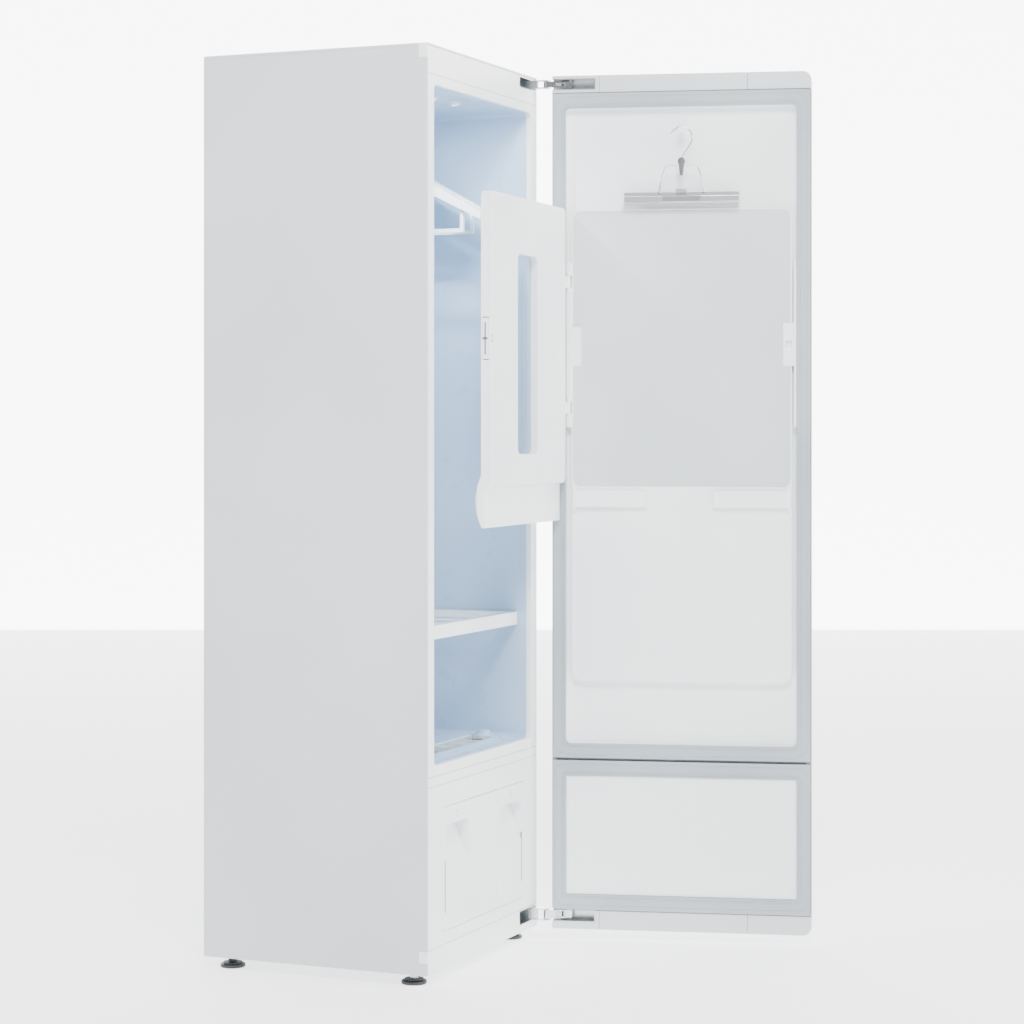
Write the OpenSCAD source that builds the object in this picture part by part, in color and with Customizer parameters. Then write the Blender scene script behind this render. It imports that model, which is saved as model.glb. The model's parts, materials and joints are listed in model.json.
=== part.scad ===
// Steam garment cabinet whose door carries a trouser press. Millimetres, +Z up.
// The origin is on the floor under the centre of the cabinet, the front faces -Y,
// and the model stands with the door and the press cover open.

/* [Cabinet] */
// Overall width of the cabinet
cabinet_w = 595; // [560:1:720]
// Depth of the cabinet without its door
cabinet_d = 530; // [500:1:640]
// Height of the cabinet above the floor
cabinet_h = 1960; // [1900:5:2360]
// Height of the levelling feet
foot_h = 25; // [20:1:35]
// Thickness of the side panels
side_t = 3; // [2:0.5:3]
// Thickness of the top cover's rim
top_t = 6; // [4:1:8]
// Wall of the moulded panels and covers
wall = 3; // [2:0.5:4]
// Visible joint between neighbouring front panels
seam = 0.6; // [0.3:0.1:1.5]

/* [Chamber] */
// Width of the stile on each side of the opening
stile_w = 33; // [28:1:45]
// Height of the chamber's sill above the floor
sill_z = 457; // [445:1:520]
// Distance from the chamber's ceiling to the top of the cabinet
head_gap = 83; // [80:1:110]
// Radius of the opening's corners
opening_r = 12; // [6:1:20]
// Depth of the front frame
frame_t = 12; // [10:1:20]
// Space behind the chamber's back wall for the air duct
duct_gap = 40; // [30:1:60]
// Height of the shelf's top above the chamber floor
shelf_rise = 286; // [200:1:400]
// Height of the shelf's front bar
shelf_bar_h = 29; // [20:1:36]

/* [Water tanks] */
// Width of the panel that holds both tanks
tank_panel_w = 455; // [440:1:480]
// Lower edge of the tank panel
tank_z = 104; // [95:1:120]
// Height of the tank panel
tank_h = 260; // [230:1:290]
// Width of the fixed panel between the tanks
tank_mid_w = 140; // [120:1:180]
// Depth of each tank
tank_d = 190; // [150:1:230]
// Corner radius of the tank panel
tank_r = 20; // [12:1:30]
// Gap round each tank front
tank_gap = 1; // [0.5:0.5:2]

/* [Door] */
// Width of the door
door_w = 586; // [550:1:710]
// Thickness of the door
door_t = 50; // [44:1:60]
// Angle that the door stands open
door_open = 104.2; // [95:0.1:110]
// Gap between the shut door and the cabinet
door_gap = 4; // [3:0.5:6]
// Corner radius at the door's free side
door_r = 20; // [10:1:30]
// Height of the door's end caps
cap_h = 39; // [36:1:45]
// Width of the gasket frame
gasket_w = 30; // [20:1:36]
// Depth of the liner's recess below the gasket seat
liner_depth = 18; // [12:1:24]

/* [Trouser press] */
// Width of the pressing bed
bed_w = 496; // [470:1:510]
// Height of the pressing pad
pad_h = 626; // [560:1:680]
// Height of the whole bed
bed_h = 1066; // [1000:1:1200]
// Distance from the top of the pad to the top of the cabinet
bed_drop = 305; // [290:1:340]
// Thickness of the press cover
cover_t = 21; // [18:1:26]
// Angle that the cover stands open from the bed
cover_open = 101; // [90:1:108]
// Width of the cover's window
window_w = 130; // [100:1:160]
// Height of the cover's window
window_h = 430; // [380:1:470]
// Height of the trouser clamp arms
arm_h = 38; // [28:1:44]
// Thickness of the trouser clamp arms
arm_t = 10; // [7:0.5:11]

/* [Hidden] */
$fn = 48;

// Cabinet planes
half_w = cabinet_w / 2;
front_y = -cabinet_d / 2;
back_y = cabinet_d / 2;
inner_w = half_w - side_t;
shell_top = cabinet_h - top_t;
panel_t = 27;
sheet_t = 1.5;
base_h = 15;

// Front panels, from the floor up
kick_top = 76;
fascia_top = 413.4;
strip_top = 434;
head_z = cabinet_h - head_gap;
frame_top = head_z + 20;
open_w = cabinet_w - 2 * stile_w;

// Chamber
liner_front = front_y + frame_t;
liner_back = back_y - duct_gap;
chamber_w = open_w / 2;
shelf_z = sill_z + shelf_rise;

// Corner caps on the side panels
corner_d = 20;
corner_top_h = 30;
corner_low = [51, 75];

// Door hinge chain. Pivots are measured from the cabinet's front right corner,
// with the door standing open
hinge_x = half_w;
arm_pivot = [-32.5, 13];
door_edge = [-20.5, -45.7];
door_pin = [40, 22];
notch_d = 22;
pin_r = 3;
pin_fit = 0.05;
pocket_w = 92;
pocket_x = -99.5;
pocket_d = 47;
box_t = 2;
hinge_top = [cabinet_h - 30, 21, 13];
hinge_low = [43, 29, 19];
arm_r = 8;
link_r = 7;
link_room = 0.5;
fork_r = 22;

// Centre about which the linkage turns the door: the one point that a turn through
// the opening angle leaves in place. The arm, the link, this centre and the cabinet
// pin form a parallelogram
shut_edge = [door_w / 2 - half_w, -door_gap];
edge_run = door_edge - shut_edge;
turn_centre = (door_edge + shut_edge) / 2
    + [-edge_run.y, edge_run.x] / (2 * tan(door_open / 2));
door_turn = 180 + door_open;
pin_place = door_edge
    + [door_pin.x * cos(door_turn) - door_pin.y * sin(door_turn),
       door_pin.x * sin(door_turn) + door_pin.y * cos(door_turn)];
knuckle = arm_pivot + pin_place - turn_centre;

// Door planes: s runs from the hinge edge, d is the depth from the inner face outwards
door_z = foot_h;
door_top = cabinet_h;
cap_low = door_z + cap_h + 4;
cap_high = door_top - cap_h;
door_mid = door_w / 2;
skin_t = 4;
frame_w = 12;
gasket_split = 411;
gasket_rise = 3.5;
bead = 3;
liner_floor = liner_depth;
door_pocket = [8, 97, 36];

// Press planes
bed_face = -1;
bed_top = door_top - bed_drop;
bed_low = bed_top - bed_h;
pad_low = bed_top - pad_h;
bed_s = door_mid - bed_w / 2 + 1;
hinge_s = bed_s - 7.5;
hinge_d = 1;
cover_s0 = 14;
cover_s1 = bed_w + 11;
cover_b = -3;
cover_top = bed_top + 2;
plate_low = pad_low + 8;
flap_low = plate_low - 85;
flap_back = 14;
plate_t = 4;
knuckle_z = [bed_top - 163.5, bed_top - 448.5];
knuckle_h = 27;
knuckle_r = 4.5;
ear_h = 9;
latch_z = bed_top - 307;
latch_h = 90;
arm_z = pad_low - 47;
arm_reach_left = 163;
arm_reach_right = 167;

// Trouser hanger on the door
hang_s = door_mid + 3;
hook_z = cabinet_h - 122;
hang_d = -16;
peg_r = 4.5;
hook_wire = 1.6;
hook_r = 25;
clamp_top = bed_top + 37;
clamp_low = bed_top + 7;
clamp_half = 130;
clamp_t = 9;

// Garment hanger on its rail
rail_y = -10;
rail_z = head_z - 62;
rail_r = 7;
hanger_xs = [125, 178];

// Machine compartment
deck_z = foot_h + 3;
tank_top = tank_z + tank_h;
tank_half = tank_panel_w / 2;
blower_c = [150, 165, 330];
foot_x = inner_w - 36;
foot_front_y = front_y + panel_t + 22;
foot_rear_y = back_y - 50;
stud_r = 5;
foot_r = 27;

white = [0.95, 0.96, 0.97];
paint = [0.90, 0.92, 0.93];
blue_white = [0.74, 0.81, 0.87];
grey = [0.80, 0.82, 0.83];
pad_grey = [0.87, 0.89, 0.90];
steel = [0.70, 0.72, 0.74];
dark = [0.25, 0.27, 0.29];
clear = [0.80, 0.88, 0.93, 0.45];

// ---- Shapes used throughout ----

// Box between two opposite corners
module block(a, b) {
    translate(a) cube(b - a);
}

// Flat outline with round corners, from corner a to corner b
module round_rect(a, b, r) {
    translate([a.x + r, a.y]) square([b.x - a.x - 2 * r, b.y - a.y]);
    translate([a.x, a.y + r]) square([b.x - a.x, b.y - a.y - 2 * r]);
    for (x = [a.x + r, b.x - r], y = [a.y + r, b.y - r])
        translate([x, y]) circle(r);
}

// Outline in the XZ plane, given a thickness from y0 to y1
module upright(y0, y1) {
    translate([0, y1, 0]) rotate([90, 0, 0]) linear_extrude(y1 - y0) children();
}

// Outline in the XY plane, given a thickness from z0 to z1
module level(z0, z1) {
    translate([0, 0, z0]) linear_extrude(z1 - z0) children();
}

// Outline in the YZ plane, given a thickness from x0 to x1
module sideways(x0, x1) {
    translate([x0, 0, 0]) rotate([90, 0, 90]) linear_extrude(x1 - x0) children();
}

// Flat bar with round ends between two points
module bar(p, q, r) {
    run = q - p;
    translate(p) rotate(atan2(run.y, run.x)) {
        translate([0, -r]) square([norm(run), 2 * r]);
        circle(r);
        translate([norm(run), 0]) circle(r);
    }
}

// Upright pin
module post(p, z0, z1, r) {
    translate([p.x, p.y, z0]) cylinder(h = z1 - z0, r = r);
}

// Round rod from p to q, as a straight cylinder
module rod(p, q, r) {
    run = q - p;
    translate(p) rotate([0, acos(run.z / norm(run)), atan2(run.y, run.x)])
        cylinder(h = norm(run), r = r);
}

module each_side() {
    children();
    mirror([1, 0, 0]) children();
}

module on_side(side) {
    mirror([side < 0 ? 1 : 0, 0, 0]) children();
}

// Door frame of reference: x is s, y is d
module on_door() {
    translate([hinge_x + door_edge.x, front_y + door_edge.y, 0])
        rotate([0, 0, door_turn]) children();
}

// Cover frame of reference: x runs from its hinge pin to its free edge
module on_cover() {
    on_door() translate([hinge_s, hinge_d, 0]) rotate([0, 0, -cover_open]) children();
}

// Moulded panel with a thin front wall and lips behind it
module shell_panel(x0, x1, z0, z1, y0, y1) {
    difference() {
        block([x0, y0, z0], [x1, y1, z1]);
        block([x0 + wall, y0 + wall, z0 + wall], [x1 - wall, y1 + 1, z1 - wall]);
    }
}

// ---- Cabinet casing ----

module corner_cap_blocks() {
    each_side() {
        block([inner_w, front_y, cabinet_h - corner_top_h], [half_w, front_y + corner_d, cabinet_h]);
        block([inner_w, front_y, corner_low[0]], [half_w, front_y + corner_d, corner_low[1]]);
    }
}

module corner_caps() {
    color(white) corner_cap_blocks();
}

module side_panel(side) {
    flange_w = 14;
    color(paint) on_side(side) difference() {
        union() {
            block([inner_w, front_y, foot_h], [half_w, back_y, shell_top]);
            block([inner_w - flange_w, back_y - sheet_t - side_t, foot_h + base_h],
                [inner_w + 1, back_y - sheet_t, shell_top]);
        }
        corner_cap_blocks();
    }
}

module side_panel_left() {
    side_panel(-1);
}

module side_panel_right() {
    side_panel(1);
}

module top_cover() {
    lip = 1.5;
    color(white) difference() {
        block([-half_w, front_y, shell_top], [half_w, back_y, cabinet_h]);
        block([-half_w + lip + side_t, front_y + lip + side_t, shell_top - 1],
            [half_w - lip - side_t, back_y - lip - side_t, cabinet_h - lip]);
        corner_cap_blocks();
    }
}

module back_panel() {
    slot_w = 70;
    slot_h = 5;
    color(paint) difference() {
        block([-inner_w, back_y - sheet_t, foot_h + base_h], [inner_w, back_y, shell_top]);
        for (column = [-1, 1], row = [0:11])
            block([column * 100 - slot_w / 2, back_y - 5, 110 + row * 14],
                [column * 100 + slot_w / 2, back_y + 5, 110 + row * 14 + slot_h]);
        inlet_opening();
    }
}

module inlet_opening() {
    block([200, back_y - 40, 320], [232, back_y + 5, 348]);
}

module power_inlet() {
    blade = [2, 14, 4];
    color(dark) difference() {
        union() {
            block([200, back_y - 26, 320], [232, back_y, 348]);
            block([195, back_y - sheet_t - 2, 315], [237, back_y - sheet_t, 353]);
        }
        block([203, back_y - 20, 323], [229, back_y + 1, 345]);
    }
    color(steel) for (dx = [-8, 0, 8])
        translate([216 + dx - blade.x / 2, back_y - 20, 332 + (dx == 0 ? 4 : 0)]) cube(blade);
}

module base_frame() {
    boss_r = 14;
    color(steel) difference() {
        union() {
            difference() {
                block([-inner_w, front_y + panel_t, foot_h],
                    [inner_w, back_y - sheet_t, foot_h + base_h]);
                block([-inner_w + 2, front_y + panel_t + 2, deck_z],
                    [inner_w - 2, back_y - sheet_t - 2, foot_h + base_h + 1]);
            }
            for (x = [-1, 1], y = [foot_front_y, foot_rear_y])
                post([x * foot_x, y], deck_z, foot_h + 13, boss_r);
        }
        for (x = [-1, 1], y = [foot_front_y, foot_rear_y])
            post([x * foot_x, y], foot_h - 1, foot_h + 14, stud_r + pin_fit);
    }
}

module foot(x, y) {
    color(dark) {
        post([x, y], 0, 7, foot_r);
        post([x, y], 7, 11, foot_r - 6);
    }
    color(steel) {
        post([x, y], 11, 18, 10);
        post([x, y], 18, foot_h + 12, stud_r);
    }
}

module rear_feet() {
    each_side() foot(foot_x, foot_rear_y);
}

module front_foot_left() {
    foot(-foot_x, foot_front_y);
}

module front_foot_right() {
    foot(foot_x, foot_front_y);
}

// ---- Cabinet front ----

// Space that a hinge box takes out of the front panels
module hinge_box_space(z) {
    block([hinge_x + pocket_x - box_t, front_y - 1, z[0] - box_t],
        [hinge_x + pocket_x + pocket_w + box_t, front_y + pocket_d + box_t, z[0] + z[1] + box_t]);
}

module front_rails() {
    color(white) difference() {
        shell_panel(-inner_w, inner_w, frame_top + seam, shell_top, front_y, front_y + panel_t);
        hinge_box_space(hinge_top);
    }
    color(white) shell_panel(-inner_w, inner_w, fascia_top + seam, strip_top, front_y, front_y + panel_t);
}

module opening_frame() {
    low = strip_top + seam;
    color(white) difference() {
        upright(front_y, liner_front) difference() {
            translate([-inner_w, low]) square([2 * inner_w, frame_top - low]);
            round_rect([-chamber_w, sill_z], [chamber_w, head_z], opening_r);
        }
        upright(front_y + wall, liner_front + 1) difference() {
            translate([-inner_w + wall, low + wall])
                square([2 * (inner_w - wall), frame_top - low - 2 * wall]);
            round_rect([-chamber_w - wall, sill_z - wall], [chamber_w + wall, head_z + wall],
                opening_r + wall);
        }
    }
}

module lower_fascia() {
    color(white) {
        difference() {
            shell_panel(-inner_w, inner_w, kick_top + seam, fascia_top, front_y, front_y + panel_t);
            upright(front_y - 1, front_y + wall + 1)
                round_rect([-tank_half - tank_gap, tank_z - tank_gap],
                    [tank_half + tank_gap, tank_top + tank_gap], tank_r + tank_gap);
        }
    }
}

module kick_plate() {
    color(white) difference() {
        shell_panel(-inner_w, inner_w, foot_h, kick_top, front_y, front_y + panel_t);
        hinge_box_space(hinge_low);
    }
}

module cabinet_hinge_box(z) {
    difference() {
        block([hinge_x + pocket_x - box_t, front_y, z[0] - box_t],
            [hinge_x + pocket_x + pocket_w + box_t, front_y + pocket_d + box_t, z[0] + z[1] + box_t]);
        block([hinge_x + pocket_x, front_y - 1, z[0]],
            [hinge_x + pocket_x + pocket_w, front_y + pocket_d, z[0] + z[1]]);
    }
    post([hinge_x, front_y] + arm_pivot, z[0], z[0] + z[1], pin_r);
}

module cabinet_hinge_boxes() {
    color(steel) {
        cabinet_hinge_box(hinge_top);
        cabinet_hinge_box(hinge_low);
    }
}

// ---- Chamber ----

module chamber_liner() {
    ledge = 7;
    color(blue_white) {
        upright(liner_front, liner_back) difference() {
            round_rect([-chamber_w - wall, sill_z - wall], [chamber_w + wall, head_z + wall],
                opening_r + wall);
            round_rect([-chamber_w, sill_z], [chamber_w, head_z], opening_r);
        }
        upright(liner_back - wall, liner_back) difference() {
            round_rect([-chamber_w, sill_z], [chamber_w, head_z], opening_r);
            for (row = [0:7])
                translate([-110, sill_z + 47 + row * 10]) square([220, 5]);
        }
        each_side() block([chamber_w - ledge, liner_front + 28, shelf_z - 22],
            [chamber_w + 1, liner_back - 60, shelf_z - shelf_bar_h + 16 - 0.4]);
    }
}

module sensor_grille() {
    z = bed_top - 485;
    color(blue_white) difference() {
        block([chamber_w - 2, liner_front + 4, z - 18], [chamber_w, liner_front + 46, z + 18]);
        for (row = [0:5])
            block([chamber_w - 3, liner_front + 8, z - 14 + row * 5],
                [chamber_w - 0.8, liner_front + 42, z - 11.5 + row * 5]);
    }
}

module ceiling_lights() {
    lamp = [[-60, -150, 27], [40, -175, 12]];
    color(white) for (l = lamp) {
        difference() {
            post([l[0], l[1]], head_z - 4, head_z, l[2]);
            post([l[0], l[1]], head_z - 5, head_z - 1, l[2] - 5);
        }
        post([l[0], l[1]], head_z - 5, head_z - 1, l[2] - 5);
    }
}

tray_x = [-232, 244];
tray_y = [liner_front + 36, liner_front + 115];
filter_x = [-216, 176];
filter_y = [liner_front + 44, liner_front + 106];
filter_fit = 0.5;
nozzle = [211, liner_front + 82];

module chamber_tray() {
    color(blue_white) difference() {
        level(sill_z, sill_z + 9) round_rect([tray_x[0], tray_y[0]], [tray_x[1], tray_y[1]], 12);
        level(sill_z + 1.5, sill_z + 10)
            round_rect([filter_x[0], filter_y[0]], [filter_x[1], filter_y[1]], 8);
    }
    color(blue_white) difference() {
        union() {
            post(nozzle, sill_z + 9, sill_z + 13, 21);
            post(nozzle, sill_z + 13, sill_z + 19, 15);
        }
        for (turn = [0:60:300])
            translate([nozzle.x, nozzle.y, 0]) rotate(turn) post([8, 0], sill_z + 14, sill_z + 20, 2);
    }
}

module lint_filter() {
    x0 = filter_x[0] + filter_fit;
    x1 = filter_x[1] - filter_fit;
    y0 = filter_y[0] + filter_fit;
    y1 = filter_y[1] - filter_fit;
    z0 = sill_z + 1.8;
    color(grey) {
        level(z0, z0 + 5) difference() {
            round_rect([x0, y0], [x1, y1], 7);
            for (cell = [0:5])
                translate([x0 + 10 + cell * 62, y0 + 8]) square([52, y1 - y0 - 16]);
        }
        level(z0 + 1, z0 + 2) for (cell = [0:5])
            translate([x0 + 9 + cell * 62, y0 + 7]) square([54, y1 - y0 - 14]);
        level(z0 + 4, z0 + 12) round_rect([x1 - 24, y0 + 18], [x1 - 10, y1 - 18], 5);
    }
}

module shelf() {
    x1 = chamber_w - 2.5;
    y0 = liner_front + 21;
    y1 = liner_back - 70;
    bar_t = 22;
    bar_h = shelf_bar_h - 16;
    color(white) {
        difference() {
            block([-x1, y0, shelf_z - bar_h], [x1, y1, shelf_z]);
            block([-x1 + bar_t, y0 + bar_t, shelf_z - bar_h - 1], [x1 - bar_t, y1 - bar_t, shelf_z + 1]);
        }
        block([-x1, y0, shelf_z - shelf_bar_h], [x1, y0 + 4, shelf_z - bar_h + 1]);
        for (n = [-1.5:1:1.5])
            block([n * 2 * x1 / 5 - 3, y0 + bar_t - 1, shelf_z - 9],
                [n * 2 * x1 / 5 + 3, y1 - bar_t + 1, shelf_z - 3]);
    }
}

// ---- Garment rail ----

module hanger_drive() {
    color(white) {
        difference() {
            union() {
                block([-95, rail_y - 34, head_z - 30], [95, rail_y + 34, head_z]);
                each_side() block([60, rail_y - 12, rail_z - 14], [72, rail_y + 12, head_z - 29]);
            }
            rod([-200, rail_y, rail_z], [200, rail_y, rail_z], rail_r + pin_fit);
            block([-30, rail_y - 12, head_z - 31], [30, rail_y + 12, head_z - 8]);
        }
    }
}

module hanger_rail() {
    reach = chamber_w - 30;
    color(steel) {
        rod([-reach, rail_y, rail_z], [reach, rail_y, rail_z], rail_r);
        for (x = [-reach, reach - 4]) rod([x, rail_y, rail_z], [x + 4, rail_y, rail_z], rail_r + 3);
        post([0, rail_y], rail_z + rail_r - 1, head_z - 34, 5);
        post([0, rail_y], head_z - 34, head_z - 12, 3);
    }
}

// Shaped hanger: broad shoulders that slope down from the neck, with a trouser bar
module shoulder_hanger(x) {
    neck = rail_z - 66;
    half = 195;
    tip = neck - 105;
    grip = rail_r + 0.4;
    wire = 2.4;
    bar_z = tip - 45;
    color(white) sideways(x - 12, x + 12) {
        for (side = [0, 1]) translate([rail_y, 0]) mirror([side, 0])
            polygon([[-1, neck], [16, neck], [40, neck - 20], [half, tip], [half, tip - 18],
                [80, neck - 66],
                [-1, neck - 44]]);
    }
    color(white) sideways(x - 4, x + 4) translate([rail_y, 0]) {
        translate([-150, bar_z]) square([300, 9]);
        for (end = [-150, 142]) translate([end, bar_z]) square([8, 72]);
    }
    color(steel) {
        post([x, rail_y], neck - 0.5, rail_z - grip - 2 * wire + 0.5, wire);
        translate([x, rail_y, rail_z]) rotate([90, 0, 90]) rotate([0, 0, -90])
            rotate_extrude(angle = 250) translate([grip + wire, 0]) circle(wire);
    }
}

module garment_hanger_1() {
    shoulder_hanger(hanger_xs[0]);
}

module garment_hanger_2() {
    shoulder_hanger(hanger_xs[1]);
}

// ---- Machine compartment ----

module tank_bay() {
    y0 = front_y + wall;
    y1 = front_y + tank_d + 8;
    color(grey) difference() {
        block([-tank_half - 4, y0, tank_z - 8], [tank_half + 4, y1 + 4, tank_top + 10]);
        for (side = [-1, 1]) on_side(side)
            block([tank_mid_w / 2 + 1, y0 - 1, tank_z + 5.5], [tank_half - 5, y1, tank_top + 4]);
        block([-tank_mid_w / 2 + 4, y0 - 1, tank_z + 3], [tank_mid_w / 2 - 4, y1 + 5, tank_top - 3]);
    }
    color(white) block([-tank_mid_w / 2, front_y, tank_z], [tank_mid_w / 2, y0, tank_top]);
}

// Outline of one tank front, on the right-hand side
module tank_outline() {
    x0 = tank_mid_w / 2 + tank_gap;
    translate([x0, tank_z]) square([tank_half - x0 - tank_r, tank_h]);
    translate([x0, tank_z + tank_r]) square([tank_half - x0, tank_h - 2 * tank_r]);
    for (z = [tank_z + tank_r, tank_top - tank_r]) translate([tank_half - tank_r, z]) circle(tank_r);
}

module tank_body() {
    x0 = tank_mid_w / 2 + 4;
    x1 = tank_half - 8;
    xm = (x0 + x1) / 2;
    scoop = [x0 + 12, x1 - 10];
    scoop_z = [tank_top - 129, tank_top - 39];
    scoop_d = 34;
    gauge = [x1 - 14, x1 - 8];
    cap_y = front_y + 120;
    color(white) difference() {
        union() {
            upright(front_y, front_y + wall - 0.4) tank_outline();
            block([x0, front_y + 1, tank_z + 6], [x1, front_y + tank_d, tank_top - 14]);
            block([x0 + 6, front_y + 60, tank_top - 14], [x1 - 6, front_y + tank_d - 6, tank_top - 6]);
        }
        block([x0 + wall, front_y + scoop_d + 6, tank_z + 6 + wall],
            [x1 - wall, front_y + tank_d - wall, tank_top - 19]);
        intersection() {
            upright(front_y - 1, front_y + scoop_d)
                round_rect([scoop[0], scoop_z[0] - 14], [scoop[1], scoop_z[1]], 14);
            sideways(scoop[0] - 1, scoop[1] + 1)
                polygon([[front_y - 1, scoop_z[0]], [front_y, scoop_z[0]],
                    [front_y + scoop_d, scoop_z[1] - 6], [front_y + scoop_d, scoop_z[1]],
                    [front_y - 1, scoop_z[1]]]);
        }
        upright(front_y - 1, front_y + 1.5)
            round_rect([gauge[0], tank_z + 36], [gauge[1], tank_z + 148], 2.9);
        post([xm, cap_y], tank_top - 16, tank_top - 5, 20);
    }
    color(grey) difference() {
        post([xm, cap_y], tank_top - 16, tank_top - 5, 20);
        for (side = [-1, 1])
            translate([xm - 12, cap_y + side * 8 - 5, tank_top - 9]) cube([24, 10, 5]);
    }
}

module tank_left() {
    on_side(-1) tank_body();
}

module tank_right() {
    tank_body();
}

module compressor() {
    c = [-155, 120];
    color(dark) {
        post(c, deck_z + 12, deck_z + 150, 62);
        translate([c.x, c.y, deck_z + 150]) rotate_extrude() intersection() {
            circle(62);
            square([62, 40]);
        }
        post(c, deck_z + 40, deck_z + 46, 66);
        block([c.x - 75, c.y - 40, deck_z + 8], [c.x + 75, c.y + 40, deck_z + 13]);
        for (x = [-1, 1], y = [-1, 1]) post([c.x + x * 60, c.y + y * 28], deck_z, deck_z + 9, 11);
    }
}

module heat_exchangers() {
    for (x0 = [-66, 36]) color(steel) {
        for (fin = [0:11])
            block([x0 + fin * 8, 90, deck_z + 8], [x0 + fin * 8 + 2, 230, deck_z + 150]);
        for (z = [30, 80, 130])
            rod([x0 - 4, 160, deck_z + z], [x0 + 96, 160, deck_z + z], 5);
        block([x0 - 2, 90, deck_z], [x0 + 92, 230, deck_z + 8]);
    }
}

module blower_housing() {
    color(grey) {
        difference() {
            union() {
                translate(blower_c) rotate([90, 0, 0]) translate([0, 0, -35]) cylinder(h = 70, r = 68);
                block([blower_c.x - 68, blower_c.y - 35, blower_c.z],
                    [blower_c.x - 6, blower_c.y + 35, sill_z - wall]);
            }
            translate(blower_c) rotate([90, 0, 0]) translate([0, 0, -32]) cylinder(h = 64, r = 65);
            block([blower_c.x - 65, blower_c.y - 32, blower_c.z],
                [blower_c.x - 9, blower_c.y + 32, sill_z]);
            translate(blower_c) rotate([90, 0, 0]) cylinder(h = 40, r = 38);
        }
        translate(blower_c) rotate([90, 0, 0]) translate([0, 0, -32.5]) cylinder(h = 22, r = 4);
        difference() {
            translate(blower_c + [0, 60, 0]) rotate([90, 0, 0]) cylinder(h = 25, r = 26);
            translate(blower_c + [0, 61, 0]) rotate([90, 0, 0]) cylinder(h = 3, r = 20);
        }
    }
    color(steel) block([blower_c.x - 8, blower_c.y - 30, deck_z],
        [blower_c.x + 14, blower_c.y + 30, blower_c.z - 66]);
}

module blower_wheel() {
    blades = 24;
    color(dark) translate(blower_c) rotate([90, 0, 0]) {
        difference() {
            union() {
                translate([0, 0, -26]) cylinder(h = 3, r = 58);
                translate([0, 0, -26]) cylinder(h = 22, r = 10);
                for (n = [0:blades - 1]) rotate(n * 360 / blades)
                    translate([44, -0.8, -23]) cube([13, 1.6, 44]);
                translate([0, 0, 21]) difference() {
                    cylinder(h = 4, r = 58);
                    translate([0, 0, -1]) cylinder(h = 6, r = 43);
                }
            }
            translate([0, 0, -27]) cylinder(h = 24, r = 4 + pin_fit);
        }
    }
}

module steam_generator() {
    color(steel) {
        block([-250, -40, deck_z], [-190, 20, deck_z + 12]);
        block([-256, -44, deck_z + 12], [-184, 24, deck_z + 102]);
        post([-236, -10], deck_z + 102, deck_z + 118, 7);
        post([-204, -10], deck_z + 102, deck_z + 112, 9);
    }
}

module water_pump() {
    color(dark) {
        post([230, 40], deck_z, deck_z + 48, 24);
        block([200, 30, deck_z + 12], [230, 50, deck_z + 30]);
        post([230, 40], deck_z + 48, deck_z + 62, 9);
    }
}

module control_box() {
    color(grey) difference() {
        block([-150, 60, head_z + wall], [-10, 190, shell_top]);
        block([-148, 62, head_z + wall + 2], [-12, 188, shell_top - 8]);
    }
}

module panel_screws() {
    color(steel) for (side = [-1, 1], n = [0:6]) {
        z = 80 + n * (shell_top - 130) / 6;
        translate([side * (inner_w - 7), back_y, z]) rotate([-90, 0, 0]) cylinder(h = 2, r = 4);
    }
}

// ---- Hinge chain between cabinet and door ----

// One arm: forked at the knuckle, turning on the cabinet's pin
module hinge_arm(z) {
    z0 = z[0] + 1;
    z1 = z[0] + z[1] - 1;
    ear = (z[1] - z[2]) / 2;
    p = [hinge_x, front_y] + arm_pivot;
    q = [hinge_x, front_y] + knuckle;
    difference() {
        level(z0, z1) bar(p, q, arm_r);
        post(p, z0 - 1, z1 + 1, pin_r + pin_fit);
        post(q, z[0] + ear - link_room, z[0] + ear + z[2] + link_room, fork_r);
    }
    post(q, z[0] + ear - link_room - 0.1, z[0] + ear + z[2] + link_room + 0.1, pin_r);
}

module hinge_arms() {
    color(steel) {
        hinge_arm(hinge_top);
        hinge_arm(hinge_low);
    }
}

// World place of the pin that joins the link to the door
door_pin_xy = [hinge_x, front_y] + pin_place;

module hinge_link(z) {
    ear = (z[1] - z[2]) / 2;
    q = [hinge_x, front_y] + knuckle;
    middle = (q + door_pin_xy) / 2;
    difference() {
        level(z[0] + ear, z[0] + ear + z[2]) bar(q, door_pin_xy, link_r);
        post(q, z[0], z[0] + z[1], pin_r + pin_fit);
        post(door_pin_xy, z[0], z[0] + z[1], pin_r + pin_fit);
        post(middle, z[0], z[0] + z[1], 3.2);
    }
}

module hinge_links() {
    color(steel) {
        hinge_link(hinge_top);
        hinge_link(hinge_low);
    }
}

// ---- Door ----

// Door outline: small corners at the hinge side, larger ones at the free side
module door_outline(inset) {
    r0 = 5;
    r1 = door_r - inset;
    a = [inset, door_z + inset];
    b = [door_w - inset, door_top - inset];
    translate([a.x + r0, a.y]) square([b.x - a.x - r0 - r1, b.y - a.y]);
    translate([a.x, a.y + r0]) square([r0, b.y - a.y - 2 * r0]);
    translate([b.x - r1, a.y + r1]) square([r1, b.y - a.y - 2 * r1]);
    for (z = [a.y + r0, b.y - r0]) translate([a.x + r0, z]) circle(r0);
    for (z = [a.y + r1, b.y - r1]) translate([b.x - r1, z]) circle(r1);
}

// Space for the hinge box in the door, with the way out at the hinge edge
module door_box_space(z) {
    block([door_pocket[0] - box_t, -1, z[0] - box_t],
        [door_pocket[1] + box_t, door_pocket[2] + box_t, z[0] + z[1] + box_t]);
    block([-1, -1, z[0] - box_t], [door_pocket[0], notch_d, z[0] + z[1] + box_t]);
}

module door_glass() {
    color(paint) on_door() upright(door_t - skin_t, door_t) door_outline(0);
}

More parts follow.
